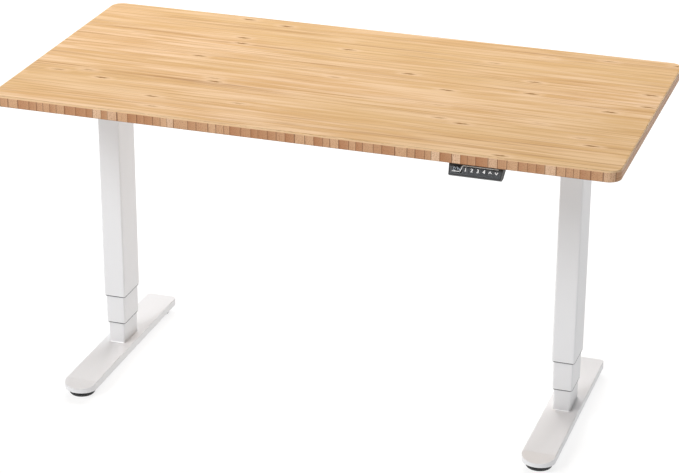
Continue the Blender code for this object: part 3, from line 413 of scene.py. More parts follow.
@dataclass(frozen=True)
class LaminatedBamboo(Finish):
    """Moso bamboo pressed into a three-layer board, planed, sanded and given a clear satin lacquer.

    The face layers run along X in strips 19 mm wide, each a little lighter or darker than the next, with
    fine fibres, thin glue lines, and now and then the brown fleck of a stem joint. The core runs across,
    so the long edges show its blocks end on, tan to reddish with dark glue joints, and the short edges
    show it lengthwise.
    """

    name: str = "laminated_bamboo"
    slot: str = "bamboo"
    strip: float = 19.0
    joint_spacing: float = 260.0
    block: float = 20.0
    rim: float = 3.4
    corner: float = 28.0
    light: str = "#E0BE99"
    dark: str = "#CBA271"
    golden: str = "#CEAB79"
    line: str = "#9A6E42"
    joint: str = "#8A6128"
    block_light: str = "#DBB18A"
    block_dark: str = "#B78159"
    pale: str = "#F0CFAE"
    reddish: str = "#AE7046"

    def wire(self, tree, shader) -> None:
        """Wires face, long edges and short edges, chosen by place on the board."""
        low, high = (np.array(corner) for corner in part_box("desktop"))
        place = add_node(tree, "TexCoord", output="Object")
        x, y, z = add_node(tree, "SeparateXYZ", links={"Vector": place}).node.outputs
        near_top = add_range(tree, z, high[2] - 0.0004, high[2] - 0.0002)
        near_base = add_range(tree, z, low[2] + 0.0006, low[2] + 0.0003)
        on_face = add_math(tree, "MAXIMUM", near_top, near_base)
        past_x, past_y = (
            add_math(tree, "SUBTRACT", add_math(tree, "ABSOLUTE", value, 0.0), end - self.corner * MM)
            for value, end in ((x, high[0]), (y, high[1]))
        )
        on_short = add_math(tree, "GREATER_THAN", past_x, past_y)
        edge = add_mix(tree, on_short, self.long_edge(tree, x), self.short_edge(tree))
        rim = high[2] - self.rim * MM
        # Partly a painted highlight: the top of each edge, eased edge included, takes the pale rim colour.
        edge = add_mix(tree, add_range(tree, z, rim - 0.0004, rim), edge, self.pale_rim_and_highlight(tree))
        # Painted shade: the edge is darkened towards the board's underside, standing in for the shade under
        # the lower eased edge.
        shade = add_range(tree, z, low[2] + 0.0008, low[2] + 0.0024, 0.35, 1.0)
        edge = add_mix(tree, shade, "#7E5233", edge)
        fibres = add_pattern(tree, (14.0, 620.0, 620.0), 4.0)
        fill(
            tree,
            shader,
            {
                "Base Color": add_mix(tree, on_face, edge, self.face(tree, x, y)),
                "Roughness": add_range(tree, fibres, 0.25, 0.75, 0.42, 0.54),
                "Normal": add_bump(tree, fibres, 0.10),
                "IOR": 1.5,
                "Specular IOR Level": 0.3,
            },
        )

    def face(self, tree, x, y):
        """The strips of a face layer: a tone for each that drifts along it, fibres, and stem joints."""
        math_on = partial(add_math, tree)
        sway = math_on("MULTIPLY", add_pattern(tree, (5.0, 9.0, 0.0), 1.0), 0.5)
        across = math_on("ADD", math_on("DIVIDE", y, self.strip * MM), sway)
        strip = math_on("FLOOR", across, 0.0)
        own = add_node(tree, "TexWhiteNoise", {"noise_dimensions": "1D"}, {"W": strip}, "Value")
        lane = {"X": math_on("MULTIPLY", x, 3.4), "Y": math_on("MULTIPLY", strip, 3.71)}
        lanes = add_node(tree, "CombineXYZ", links=lane)
        tone = add_node(tree, "TexNoise", {"Scale": 1.0, "Detail": 2.0}, {"Vector": lanes})
        streak = add_pattern(tree, (4.0, 120.0, 1.0), 5.0)
        mixed = math_on("ADD", math_on("MULTIPLY", tone, 0.42), math_on("MULTIPLY", streak, 0.58))
        colour = add_mix(tree, add_range(tree, mixed, 0.42, 0.58), self.dark, self.light)
        broad = add_range(tree, add_pattern(tree, (1.4, 6.0, 1.0), 2.0), 0.38, 0.66)
        colour = add_mix(tree, broad, colour, self.golden, 0.5)
        line = add_range(tree, add_pattern(tree, (2.2, 95.0, 1.0), 3.0), 0.42, 0.30)
        colour = add_mix(tree, line, colour, self.line, 0.55)
        thread = add_range(tree, add_pattern(tree, (5.0, 330.0, 1.0), 2.0), 0.42, 0.30)
        colour = add_mix(tree, thread, colour, self.line, 0.45)
        middle = math_on("SUBTRACT", math_on("SUBTRACT", across, strip), 0.5)
        middle = math_on("ABSOLUTE", middle, 0.0)
        thickness = add_range(tree, own, 0.2, 1.0, 0.1, 0.75)
        glue = math_on("MULTIPLY", add_range(tree, middle, 0.43, 0.48), thickness)
        colour = add_mix(tree, glue, colour, self.line)
        return self.stem_joints(tree, colour, x, strip, own, middle)

    def stem_joints(self, tree, colour, x, strip, own, middle):
        """A face's colour with the stem joints on it: in some cells of each strip, a fleck in a pale halo.

        Args:
            tree: the material's node tree.
            colour: the face's colour so far.
            x: place along the board.
            strip: the strip's number.
            own: a random value of the strip, which shifts its cells.
            middle: distance from the strip's middle, 0.5 at its sides.

        Returns:
            The colour's socket.
        """
        math_on = partial(add_math, tree)
        shifted = math_on("ADD", math_on("DIVIDE", x, self.joint_spacing * MM), own)
        cell = math_on("FLOOR", shifted, 0.0)
        where = math_on("SUBTRACT", math_on("SUBTRACT", shifted, cell), 0.5)
        where = math_on("ABSOLUTE", where, 0.0)
        keys = add_node(tree, "CombineXYZ", links={"X": cell, "Y": strip})
        seen = add_node(tree, "TexWhiteNoise", {"noise_dimensions": "2D"}, {"Vector": keys}, "Value")
        waved = math_on("MULTIPLY", add_pattern(tree, (90.0, 260.0, 1.0)), 0.5)
        waved = math_on("ADD", middle, waved)
        near = add_range(tree, where, 0.14, 0.05)
        halo = math_on("MULTIPLY", near, add_range(tree, seen, 0.80, 0.84))
        colour = add_mix(tree, halo, colour, self.light, 0.6)
        close = add_range(tree, where, 0.08, 0.02)
        dash = math_on("MULTIPLY", close, add_range(tree, waved, 0.50, 0.36))
        dash = math_on("MULTIPLY", dash, add_range(tree, seen, 0.80, 0.92, 0.0, 0.9))
        return add_mix(tree, dash, colour, self.joint)

    def long_edge(self, tree, x):
        """The core seen end on: blocks of different tints with dark joints and the dots of the fibres."""
        math_on = partial(add_math, tree)
        sway = math_on("MULTIPLY", add_pattern(tree, (9.0, 0.0, 0.0), 2.0), 3.4)
        along = math_on("ADD", math_on("DIVIDE", x, self.block * MM), sway)
        number = math_on("FLOOR", along, 0.0)
        own, other = (
            add_node(tree, "TexWhiteNoise", {"noise_dimensions": "1D"}, {"W": key}, "Value")
            for key in (number, math_on("ADD", number, 41.7))
        )
        colour = add_mix(tree, own, self.block_dark, self.block_light)
        colour = add_mix(tree, add_range(tree, other, 0.88, 0.92), colour, self.pale, 0.7)
        colour = add_mix(tree, add_range(tree, other, 0.14, 0.06), colour, self.reddish, 0.65)
        upright = add_range(tree, add_pattern(tree, (420.0, 0.0, 30.0), 3.0), 0.46, 0.32)
        colour = add_mix(tree, upright, colour, self.reddish, 0.5)
        dots = add_range(tree, add_pattern(tree, (420.0, 420.0, 420.0), 3.0), 0.50, 0.34)
        colour = add_mix(tree, dots, colour, "#8E5A34", 0.6)
        part = math_on("SUBTRACT", along, number)
        colour = add_mix(tree, add_range(tree, part, 0.0, 1.0), colour, self.block_light, 0.25)
        depth = add_range(tree, own, 0.0, 0.7, 0.5, 0.95)
        gap = math_on("MULTIPLY", add_range(tree, part, 0.11, 0.03), depth)
        return add_mix(tree, gap, colour, "#6B3F22")

    def short_edge(self, tree):
        """The core seen lengthwise: level streaks."""
        streak = add_range(tree, add_pattern(tree, (0.0, 9.0, 330.0), 3.0), 0.38, 0.62)
        return add_mix(tree, streak, self.block_dark, self.block_light)

    def pale_rim_and_highlight(self, tree):
        """The side of a face layer and the eased edge above it: pale, with short fibres. The paleness is
        partly the face layer's own tone and partly a painted highlight on the eased edge.
        """
        streak = add_range(tree, add_pattern(tree, (9.0, 160.0, 500.0), 3.0), 0.35, 0.65)
        return add_mix(tree, streak, "#E2B888", "#F0D0A6")


@dataclass(frozen=True)
class PowderCoat(Finish):
    """Polyester powder coat baked on steel tube and plate.

    It looks even and satin, with the low waves that powder leaves as it flows. The waves are under 1 mm
    and are drawn at 1.5 mm so that they show. The coat draws back from edges, which are a little greyer.
    """

    name: str = "white_powder_coat"
    slot: str = "white_powder_coat"
    light: str = "#F2F1F4"
    shade: str = "#EDECEF"
    edge: str = "#CFCFD4"
    wave: float = 1.5

    def wire(self, tree, shader) -> None:
        """Wires a faint mottle, greyer edges, and the waves as bump."""
        rounded, edges = add_edge_mask(tree, 0.7)
        mottle = add_range(tree, add_pattern(tree, (9.0, 9.0, 9.0)), 0.35, 0.65)
        colour = add_mix(tree, mottle, self.shade, self.light)
        waves = add_pattern(tree, (1 / (self.wave * MM),) * 3, 2.0)
        fill(
            tree,
            shader,
            {
                "Base Color": add_mix(tree, edges, colour, self.edge, 0.55),
                "Roughness": add_range(tree, waves, 0.3, 0.7, 0.40, 0.48),
                "Normal": add_bump(tree, waves, 0.06, rounded),
                "IOR": 1.5,
                "Specular IOR Level": 0.4,
            },
        )


@dataclass(frozen=True)
class MouldedPlastic(Finish):
    """An injection moulding in ABS, nylon or PVC, or moulded rubber.

    The mould is spark eroded, so the part has an even matt grain. Its edges, convex and concave, are a
    shade lighter as a painted highlight. A grain finer than 1 mm is drawn at about 1 mm.
    """

    name: str
    slot: str
    body: str
    # The lighter colour: used for the random mottle and for the painted highlight on edges.
    mottle_and_highlight: str
    roughness: float = 0.55
    grain: float = 1.0
    relief: float = 0.15
    ior: float = 1.53

    def wire(self, tree, shader) -> None:
        """Wires the grain as bump and colour, and a painted highlight on the edges."""
        rounded, edges = add_edge_mask(tree, 0.5)
        grain = add_pattern(tree, (1 / (self.grain * MM),) * 3, 3.0)
        broad = add_range(tree, add_pattern(tree, (25.0, 25.0, 25.0)), 0.4, 0.75)
        # Painted highlight: convex and concave edges are lightened towards the lighter colour.
        painted_edge_highlight = add_math(tree, "MULTIPLY", edges, 0.5)
        share = add_math(tree, "ADD", add_math(tree, "MULTIPLY", broad, 0.35), painted_edge_highlight, True)
        spread = self.roughness - 0.06, self.roughness + 0.06
        fill(
            tree,
            shader,
            {
                "Base Color": add_mix(tree, share, self.body, self.mottle_and_highlight),
                "Roughness": add_range(tree, grain, 0.3, 0.7, *spread),
                "Normal": add_bump(tree, grain, self.relief, rounded),
                "IOR": self.ior,
            },
        )


@dataclass(frozen=True)
class BareMetal(Finish):
    """Uncoated metal: drawn or turned steel, turned brass, or die-cast aluminium.

    The tool or the mould leaves lines or grain, given as cycles in a metre along each axis, so a screw
    has rings round it and a casting an even frosting. Handling leaves duller patches.
    """

    name: str
    slot: str
    bright: str
    dull: str
    lines: tuple[float, float, float]
    roughness: float = 0.3

    def wire(self, tree, shader) -> None:
        """Wires the tool marks as bump and the dull patches as colour and roughness."""
        marks = add_pattern(tree, self.lines, 3.0)
        dullness = add_range(tree, add_pattern(tree, (30.0, 30.0, 30.0)), 0.4, 0.7)
        rounded, _ = add_edge_mask(tree, 0.3)
        spread = self.roughness - 0.08, self.roughness + 0.08
        fill(
            tree,
            shader,
            {
                "Base Color": add_mix(tree, dullness, self.bright, self.dull),
                "Roughness": add_range(tree, marks, 0.3, 0.7, *spread),
                "Normal": add_bump(tree, marks, 0.1, rounded),
                "Metallic": 1.0,
            },
        )


@dataclass(frozen=True)
class SmokedAcrylic(Finish):
    """The display's window: polished acrylic tinted nearly black, with the faint smears of fingers."""

    name: str = "smoked_acrylic"
    slot: str = "smoked_window"

    def wire(self, tree, shader) -> None:
        """Wires smears into the gloss and a trace of them into the colour."""
        smears = add_pattern(tree, (60.0, 180.0, 180.0))
        colour = add_mix(tree, add_range(tree, smears, 0.45, 0.7), "#101214", "#191C20")
        gloss = add_range(tree, smears, 0.4, 0.7, 0.08, 0.22)
        fill(tree, shader, {"Base Color": colour, "Roughness": gloss, "IOR": 1.49})


@dataclass(frozen=True)
class SolderMask(Finish):
    """A glass-epoxy board under green solder mask: the tracks below it show as paler straight lines."""

    name: str = "green_solder_mask"
    slot: str = "circuit_board"
    track: float = 2.2

    def wire(self, tree, shader) -> None:
        """Wires the tracks as the borders of square cells."""
        place = add_node(tree, "TexCoord", output="Object")
        settings = {"feature": "F1", "distance": "CHEBYCHEV", "Scale": 1 / (self.track * 2 * MM)}
        cells = add_node(tree, "TexVoronoi", settings, {"Vector": place}, "Distance")
        lines = add_range(tree, cells, 0.36, 0.40)
        colour = add_mix(tree, lines, "#0E5A2E", "#2E8A4C")
        raised = add_bump(tree, lines, 0.2, deep=0.0001)
        fill(tree, shader, {"Base Color": colour, "Normal": raised, "Roughness": 0.3, "IOR": 1.55})


@dataclass(frozen=True)
class PadPrint(Finish):
    """White pad-printing ink, slightly uneven where the pad pressed it on."""

    name: str = "white_pad_print"
    slot: str = "white_powder_coat"

    def wire(self, tree, shader) -> None:
        """Wires the unevenness of the ink."""
        ink = add_range(tree, add_pattern(tree, (1500.0, 1500.0, 1500.0)), 0.35, 0.65)
        fill(tree, shader, {"Base Color": add_mix(tree, ink, "#E6E8EA", "#F8F9FA"), "Roughness": 0.5})


@dataclass(frozen=True)
class Lamp(Finish):
    """A lit LED behind its moulded lens: an even glow, a shade dimmer towards the rim of each grain."""

    name: str
    slot: str
    glow: str
    dim: str
    strength: float = 0.5

    def wire(self, tree, shader) -> None:
        """Wires the lens and its glow."""
        lens = add_range(tree, add_pattern(tree, (900.0, 900.0, 900.0)), 0.35, 0.65)
        colour = add_mix(tree, lens, self.dim, self.glow)
        glow = {"Emission Color": colour, "Emission Strength": self.strength}
        fill(tree, shader, {"Base Color": colour, "Roughness": 0.35, **glow})


BAMBOO = LaminatedBamboo()
COAT = PowderCoat()
WINDOW = SmokedAcrylic()
BOARD = SolderMask()
PRINT = PadPrint()
BLACK_ABS = MouldedPlastic("black_abs", "black_plastic", "#131416", "#2A2C2F", 0.5)
CHARCOAL_ABS = MouldedPlastic("charcoal_abs", "charcoal_plastic", "#272B31", "#3A3F46", 0.42, 0.8, 0.08)
MOTOR_ENAMEL = MouldedPlastic("black_motor_enamel", "motor_case", "#17181A", "#303236", 0.38, 1.6, 0.12)
# Painted shade, in part: this nylon is dark grey so that the lips of the liners and wipers show as the
# shadow line under each tube's mouth.
NYLON_DARK_AS_SHADE = MouldedPlastic("grey_nylon", "nylon", "#3B3C3E", "#505154", 0.45, 1.2, 0.08)
LEAD_PVC = MouldedPlastic("black_pvc_lead", "black_plastic", "#151517", "#2B2B2E", 0.48, 1.0, 0.10)
RUBBER = MouldedPlastic("black_rubber", "rubber", "#111112", "#2C2C2E", 0.72, 1.2, 0.20, 1.52)
GLIDE_ABS = MouldedPlastic("black_glide_abs", "rubber", "#161718", "#34363A", 0.42, 1.1, 0.12)
STEEL = BareMetal("zinc_plated_steel", "steel", "#C3C6CA", "#9EA2A6", (900.0, 900.0, 900.0), 0.3)
SCREW_STEEL = BareMetal("turned_screw_steel", "steel", "#B9BCC0", "#8F9296", (60.0, 60.0, 1400.0), 0.28)
SHAFT_STEEL = BareMetal("turned_shaft_steel", "steel", "#B9BCC0", "#8F9296", (1400.0, 60.0, 60.0), 0.28)
BRASS = BareMetal("turned_brass", "brass", "#D8B46A", "#A9853F", (60.0, 60.0, 900.0), 0.3)
CASTING = BareMetal("die_cast_aluminium", "casting", "#B4B7BA", "#8E9194", (700.0, 700.0, 700.0), 0.5)
BLACK_SCREW = BareMetal("black_oxide_steel", "steel", "#3A3B3D", "#232425", (900.0, 900.0, 900.0), 0.38)
DISPLAY_GLOW = Lamp("display_glow", "smoked_window", "#B9C2CC", "#8F98A3", 0.35)
GREEN_LAMP = Lamp("green_lamp", "smoked_window", "#6FE08A", "#3DB060", 0.8)


# ---------------------------------------------------------------------------------------------
# Making and placing pieces


def dress(finish: Finish, *names: str) -> None:
    """Gives these CAD nodes a finish."""
    made = finish.material()
    for name in names:
        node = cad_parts[name]
        if not node.material_slots:
            node.data.materials.append(made)
        for slot in node.material_slots:
            slot.material = made
        log.info("finish %s on %s", finish.name, name)


def box_mm(name: str) -> tuple[np.ndarray, np.ndarray]:
    """The low and high corners of a CAD node at rest, in millimetres."""
    low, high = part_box(name)
    return np.array(low) / MM, np.array(high) / MM


def finish_mesh(mesh: bpy.types.Mesh) -> None:
    """Closes seams and poles by merging points that meet, then shades it smooth between sharp edges."""
    held = bmesh.new()
    held.from_mesh(mesh)
    bmesh.ops.remove_doubles(held, verts=held.verts, dist=MERGE_WITHIN)
    held.to_mesh(mesh)
    held.free()
    mesh.shade_smooth()
    mesh.set_sharp_from_angle(angle=SHARP_ANGLE)


def add_piece(name: str, shell: Shell, finish: Finish, body: str = "lift_frame") -> bpy.types.Object:
    """Writes a shell as a piece that rides on a body.

    Args:
        name: the piece's name.
        shell: its surface, in place, in millimetres.
        finish: its finish.
        body: the CAD body it moves with.

    Returns:
        The object, at the origin with its place in its mesh.
    """
    mesh = bpy.data.meshes.new(name)
    mesh.from_pydata((shell.points * MM).tolist(), [], shell.faces.tolist())
    finish_mesh(mesh)
    return settle(name, mesh, finish, body)


def settle(name: str, mesh: bpy.types.Mesh, finish: Finish, body: str) -> bpy.types.Object:
    """Links a finished mesh as a piece, rides it and slots it."""
    mesh.materials.append(finish.material())
    piece = bpy.data.objects.new(name, mesh)
    bpy.context.scene.collection.objects.link(piece)
    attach(piece, body)
    log.info("piece %s: %d faces on %s", name, len(mesh.polygons), body)
    return piece


def moved(place: np.ndarray, axis: int, distance: float) -> np.ndarray:
    """A placement moved along one of its own axes."""
    shifted = place.copy()
    shifted[:3, 3] += place[:3, axis] * distance
    return shifted


def at_corners(facing: Facing, middle: Sequence[float], out: Sequence[float], level: float) -> list:
    """One placement at each corner of a level rectangle: its middle plus or minus out in X and Y."""
    signs = (-1, 1)
    return [facing.at(middle[0] + u * out[0], middle[1] + v * out[1], level) for u in signs for v in signs]


def rail_face(end: str, half: str) -> tuple[Facing, float, float]:
    """The way that a rail's outward side faces, its place along Y and the height of its middle."""
    low, high = box_mm(f"{end}_rail_{half}")
    level = (low[2] + high[2]) / 2
    return (Facing.FRONT, low[1], level) if end == "front" else (Facing.REAR, high[1], level)


def pan_head(radius: float, tall: float, socket: float) -> Shell:
    """A low domed screw head on z = 0 with a hexagon socket: rows of a quarter ellipse, then the socket."""
    swell = np.linspace(0.0, 1.0, 5)
    dome = [(radius * math.cos(1.15 * s), tall * (0.3 + 0.7 * math.sin(math.pi / 2 * s))) for s in swell]
    return turned(
        [(0.0, -0.2), (radius * 0.97, -0.2), *dome, (socket * 1.1, tall), (socket, tall - 0.15, 1.0),
         (socket, tall * 0.35, 1.0), (0.0, tall * 0.3)]
    )


class Screw(Enum):
    """The domed screw heads in use: radius, height and the socket's radius."""

    WOOD = (6.2, 2.6, 2.2)
    FOOT = (6.5, 3.2, 2.6)
    BOX = (4.6, 2.2, 1.7)
    COVER = (3.1, 1.5, 1.2)
    GEAR = (2.9, 1.6, 1.1)
    MOTOR = (2.8, 1.8, 1.1)
    KEYPAD = (4.2, 2.1, 1.6)

    def heads(self, places: Sequence[np.ndarray]) -> Shell:
        """This head, once at each placement."""
        return pan_head(*self.value).repeated(places)


def flange_bolt(across: float, tall: float) -> Shell:
    """A hexagon head with a round flange under it, on z = 0."""
    flange, corner = across * 0.92, across * 0.577
    return turned(
        [(0.0, -0.2), (flange, -0.2), (flange, 0.9), (flange * 0.93, 1.3), (corner * 1.04, 1.9, 1.0),
         (corner, tall - 0.7, 1.0), (corner * 0.92, tall, 0.6), (0.0, tall)]
    )


def strain_relief(lead: float, root: float, long: float) -> Shell:
    """A ribbed boot round a lead, from its root at z = 0 to its thin end: a cone with four raised rings."""
    along = np.linspace(0.0, 1.0, 33)
    cone = root + (lead + 0.7 - root) * along
    rings = 0.45 * np.clip(np.sin(along * 8 * np.pi - 0.6) * 3, 0, 1) * (along < 0.9)
    outer = [(r, z) for r, z in zip(cone + rings, along * long)]
    inner = lead + 0.05
    return turned([(inner, 0.0), *outer, (lead + 0.3, long + 0.4), (inner, long + 0.4), (inner, 0.0)], 20)


def clip_shell(lead: float, gap: float, wide: float, foot: float) -> Shell:
    """A saddle clip round a lead that runs along X, under a surface at z = lead + gap.

    A flat section, wide in X and 1 thick, is carried along a line that comes in along the surface,
    goes round the lead in a half circle and leaves along the surface again.

    Args:
        lead: the lead's radius.
        gap: space between the lead and the surface.
        wide: width of the clip along the lead.
        foot: length of each foot on the surface.

    Returns:
        The shell, with the lead's centre at the origin.
    """
    around, level = lead + 0.65, lead + gap - 0.55
    angle = np.linspace(0.0, -np.pi, 15)
    arch = np.column_stack([around * np.cos(angle), around * np.sin(angle)])
    start = np.array([(around + foot, level), (around + 0.4, level), (around, level - 0.4)])
    path = np.concatenate([start, arch, (start * (-1, 1))[::-1]])
    bar = ribbon(path, 1.0, -wide / 2, wide / 2)
    return Shell(bar.points[:, [2, 0, 1]], bar.faces)


# ---------------------------------------------------------------------------------------------
# Sub-assemblies


@dataclass
class Desktop:
    """The bamboo board."""

    def build(self) -> None:
        """Dresses the board, whose shape is all in the frame."""
        dress(BAMBOO, "desktop")


@dataclass
class RailFrame:
    """The two telescopic rails and the side brackets, with the screws that hold them together."""

    bracket_screws: tuple[float, ...] = (-230.0, -80.0, 80.0, 230.0)
    bracket_plate: float = 2.5
    hole_shift: float = 4.0
    lock_at: tuple[float, ...] = (-205.0, -160.0)

    def build(self) -> None:
        """Dresses the rails and brackets and adds their screws."""
        for end in ENDS:
            dress(COAT, f"{end}_rail_outer", f"{end}_rail_inner")
        for side, sign in SIDES.items():
            dress(COAT, f"{side}_side_bracket")
            self.add_bracket_screws(side, sign)
        self.add_locking_bolts()

    def add_bracket_screws(self, side: str, sign: int) -> None:
        """Adds the four wood screws that hold one bracket's flange to the desktop."""
        low, high = box_mm(f"{side}_side_bracket")
        inner = low[0] if sign > 0 else high[0]
        x = inner + sign * ((high[0] - low[0]) / 2 + self.hole_shift)
        middle, level = (low[1] + high[1]) / 2, high[2] - self.bracket_plate
        places = [Facing.DOWN.at(x, middle + y, level) for y in self.bracket_screws]
        add_piece(f"{side}_bracket_screws", Screw.WOOD.heads(places), STEEL)

    def add_locking_bolts(self) -> None:
        """Adds the bolts that lock each inner rail in its outer one, on the faces that look outwards."""
        places = []
        for end in ENDS:
            facing, face, level = rail_face(end, "outer")
            places += [facing.at(x, face, level) for x in self.lock_at]
        add_piece("rail_locking_bolts", flange_bolt(*RAIL_BOLT).repeated(places), STEEL)


@dataclass
class Column:
    """One telescopic column: three tubes with their sleeves, screws and plugs, on its foot."""

    side: str
    sign: int
    bead: float = 1.6
    lap: float = 0.3
    wiper: float = 2.2
    wiper_room: float = 0.3
    wiper_corner: float = 4.3
    tube_corner: float = 4.0
    bolt_spread: float = 24.0

    def build(self) -> None:
        """Dresses the tubes and what is in them, and adds the weld and the head's bolts."""
        side = self.side
        tubes = (f"{side}_{name}_tube" for name in ("outer", "middle", "lower"))
        dress(COAT, *tubes, f"{side}_column_head")
        dress(NYLON_DARK_AS_SHADE, f"{side}_outer_liner", f"{side}_middle_liner")
        dress(BRASS, f"{side}_upper_nut", f"{side}_lower_nut")
        dress(SCREW_STEEL, f"{side}_upper_screw", f"{side}_lower_screw")
        self.add_wiper("outer", "middle", "lift_frame")
        self.add_wiper("middle", "lower", f"{side}_middle")
        self.add_weld()
        self.add_head_bolts()

    def add_wiper(self, name: str, inner: str, body: str) -> None:
        """Adds the soft lip under one tube that wipes the next: a bevelled section carried round the tube.
        Its dark grey is partly painted shade, standing in for the shadow line under the tube's mouth.

        Args:
            name: the tube that carries it.
            inner: the tube that slides in that one.
            body: the body of the tube that carries it.
        """
        low, high = box_mm(f"{self.side}_{name}_tube")
        inner_low, inner_high = box_mm(f"{self.side}_{inner}_tube")
        size, middle, tall = inner_high - inner_low + 2 * self.wiper_room, (low + high) / 2, self.wiper
        wall = (high[0] - low[0] - size[0]) / 2
        outline = rounded_outline(size[0], size[1], self.wiper_corner, 7)
        section = np.array(
            [(0.0, -tall), (0.0, -0.1), (wall, -0.1), (wall, 0.6 - tall), (wall - 0.7, -tall)]
        )
        shell = collar(outline, section).placed(Facing.UP.at(middle[0], middle[1], low[2]))
        add_piece(f"{self.side}_{name}_wiper", shell, NYLON_DARK_AS_SHADE, body)

    def add_weld(self) -> None:
        """Adds the fillet weld round the lower tube's foot: a rounded triangle carried round the tube."""
        low, high = box_mm(f"{self.side}_lower_tube")
        foot_top = box_mm(f"{self.side}_foot")[1][2]
        size, middle, bead, lap = high - low, (high + low) / 2, self.bead, self.lap
        outline = rounded_outline(size[0], size[1], self.tube_corner, 7)
        hollow = (0.45 * bead, 0.5 * bead)
        section = np.array([(-lap, 0.0), (-lap, bead), (0.15, bead), hollow, (bead, 0.1), (bead, 0.0)])
        shell = collar(outline, section).placed(Facing.UP.at(middle[0], middle[1], foot_top))
        add_piece(f"{self.side}_foot_weld", shell, COAT, f"{self.side}_base")

    def add_head_bolts(self) -> None:
        """Adds the bolts through the rails into the column's head, two on each rail."""
        low, high = box_mm(f"{self.side}_column_head")
        middle = (low[0] + high[0]) / 2
        places = []
        for end in ENDS:
            facing, face, level = rail_face(end, "inner" if self.sign > 0 else "outer")
            places += [facing.at(middle + x, face, level) for x in (-self.bolt_spread, self.bolt_spread)]
        add_piece(f"{self.side}_head_bolts", flange_bolt(*RAIL_BOLT).repeated(places), STEEL)


@dataclass
class Drive:
    """One motor with its worm gearbox."""

    side: str
    sign: int
    band: float = 0.7
    band_half: float = 1.6
    band_backs: tuple[float, ...] = (-9.0, -66.0)
    end_screw_circle: float = 12.5
    cover_inset: float = 3.5
    boot: tuple[float, float, float] = (2.5, 4.6, 6.0)

    def build(self) -> None:
        """Dresses the gearbox and motor and adds the case's bands, screws and the lead's grommet."""
        side = self.side
        dress(CASTING, f"{side}_gear_housing", f"{side}_gear_cover")
        dress(BRASS, f"{side}_worm_wheel")
        dress(SHAFT_STEEL, f"{side}_worm_shaft")
        dress(MOTOR_ENAMEL, f"{side}_motor")
        self.add_bands()
        self.add_end_screws()
        self.add_cover_screws()
        self.add_grommet()

    def end_face(self) -> tuple[np.ndarray, Facing]:
        """The middle of the motor's free end, and the way that it faces."""
        low, high = box_mm(f"{self.side}_motor")
        middle = (low + high) / 2
        middle[0] = high[0] if self.sign < 0 else low[0]
        return middle, Facing.RIGHT if self.sign < 0 else Facing.LEFT

    def add_bands(self) -> None:
        """Adds two rolled bands round the case: a half-round section carried round a circle."""
        middle, facing = self.end_face()
        low, high = box_mm(f"{self.side}_motor")
        radius = (high[2] - low[2]) / 2
        angle = np.arange(32) * 2 * np.pi / 32
        circle = radius * np.column_stack([np.cos(angle), np.sin(angle)])
        bulge, half = np.linspace(np.pi / 2, -np.pi / 2, 7), self.band_half
        half_round = np.column_stack([self.band * np.cos(bulge), half * np.sin(bulge)])
        section = np.concatenate([[(-0.4, -half), (-0.4, half)], half_round])
        places = [moved(facing.at(*middle), 2, back) for back in self.band_backs]
        add_piece(f"{self.side}_motor_bands", collar(circle, section).repeated(places), MOTOR_ENAMEL)

    def add_end_screws(self) -> None:
        """Adds the two long screws that close the motor's end."""
        middle, facing = self.end_face()
        places = [moved(facing.at(*middle), 0, sign * self.end_screw_circle) for sign in (-1, 1)]
        add_piece(f"{self.side}_motor_end_screws", Screw.MOTOR.heads(places), STEEL)

    def add_cover_screws(self) -> None:
        """Adds the four screws in the corners of the gearbox's cover."""
        low, high = box_mm(f"{self.side}_gear_cover")
        places = at_corners(Facing.UP, (low + high) / 2, (high - low) / 2 - self.cover_inset, high[2])
        add_piece(f"{self.side}_gear_cover_screws", Screw.GEAR.heads(places), BLACK_SCREW)

    def add_grommet(self) -> None:
        """Adds the ribbed boot where the lead leaves the motor."""
        middle, facing = self.end_face()
        boot = strain_relief(*self.boot).placed(facing.at(*middle))
        add_piece(f"{self.side}_motor_boot", boot, LEAD_PVC)


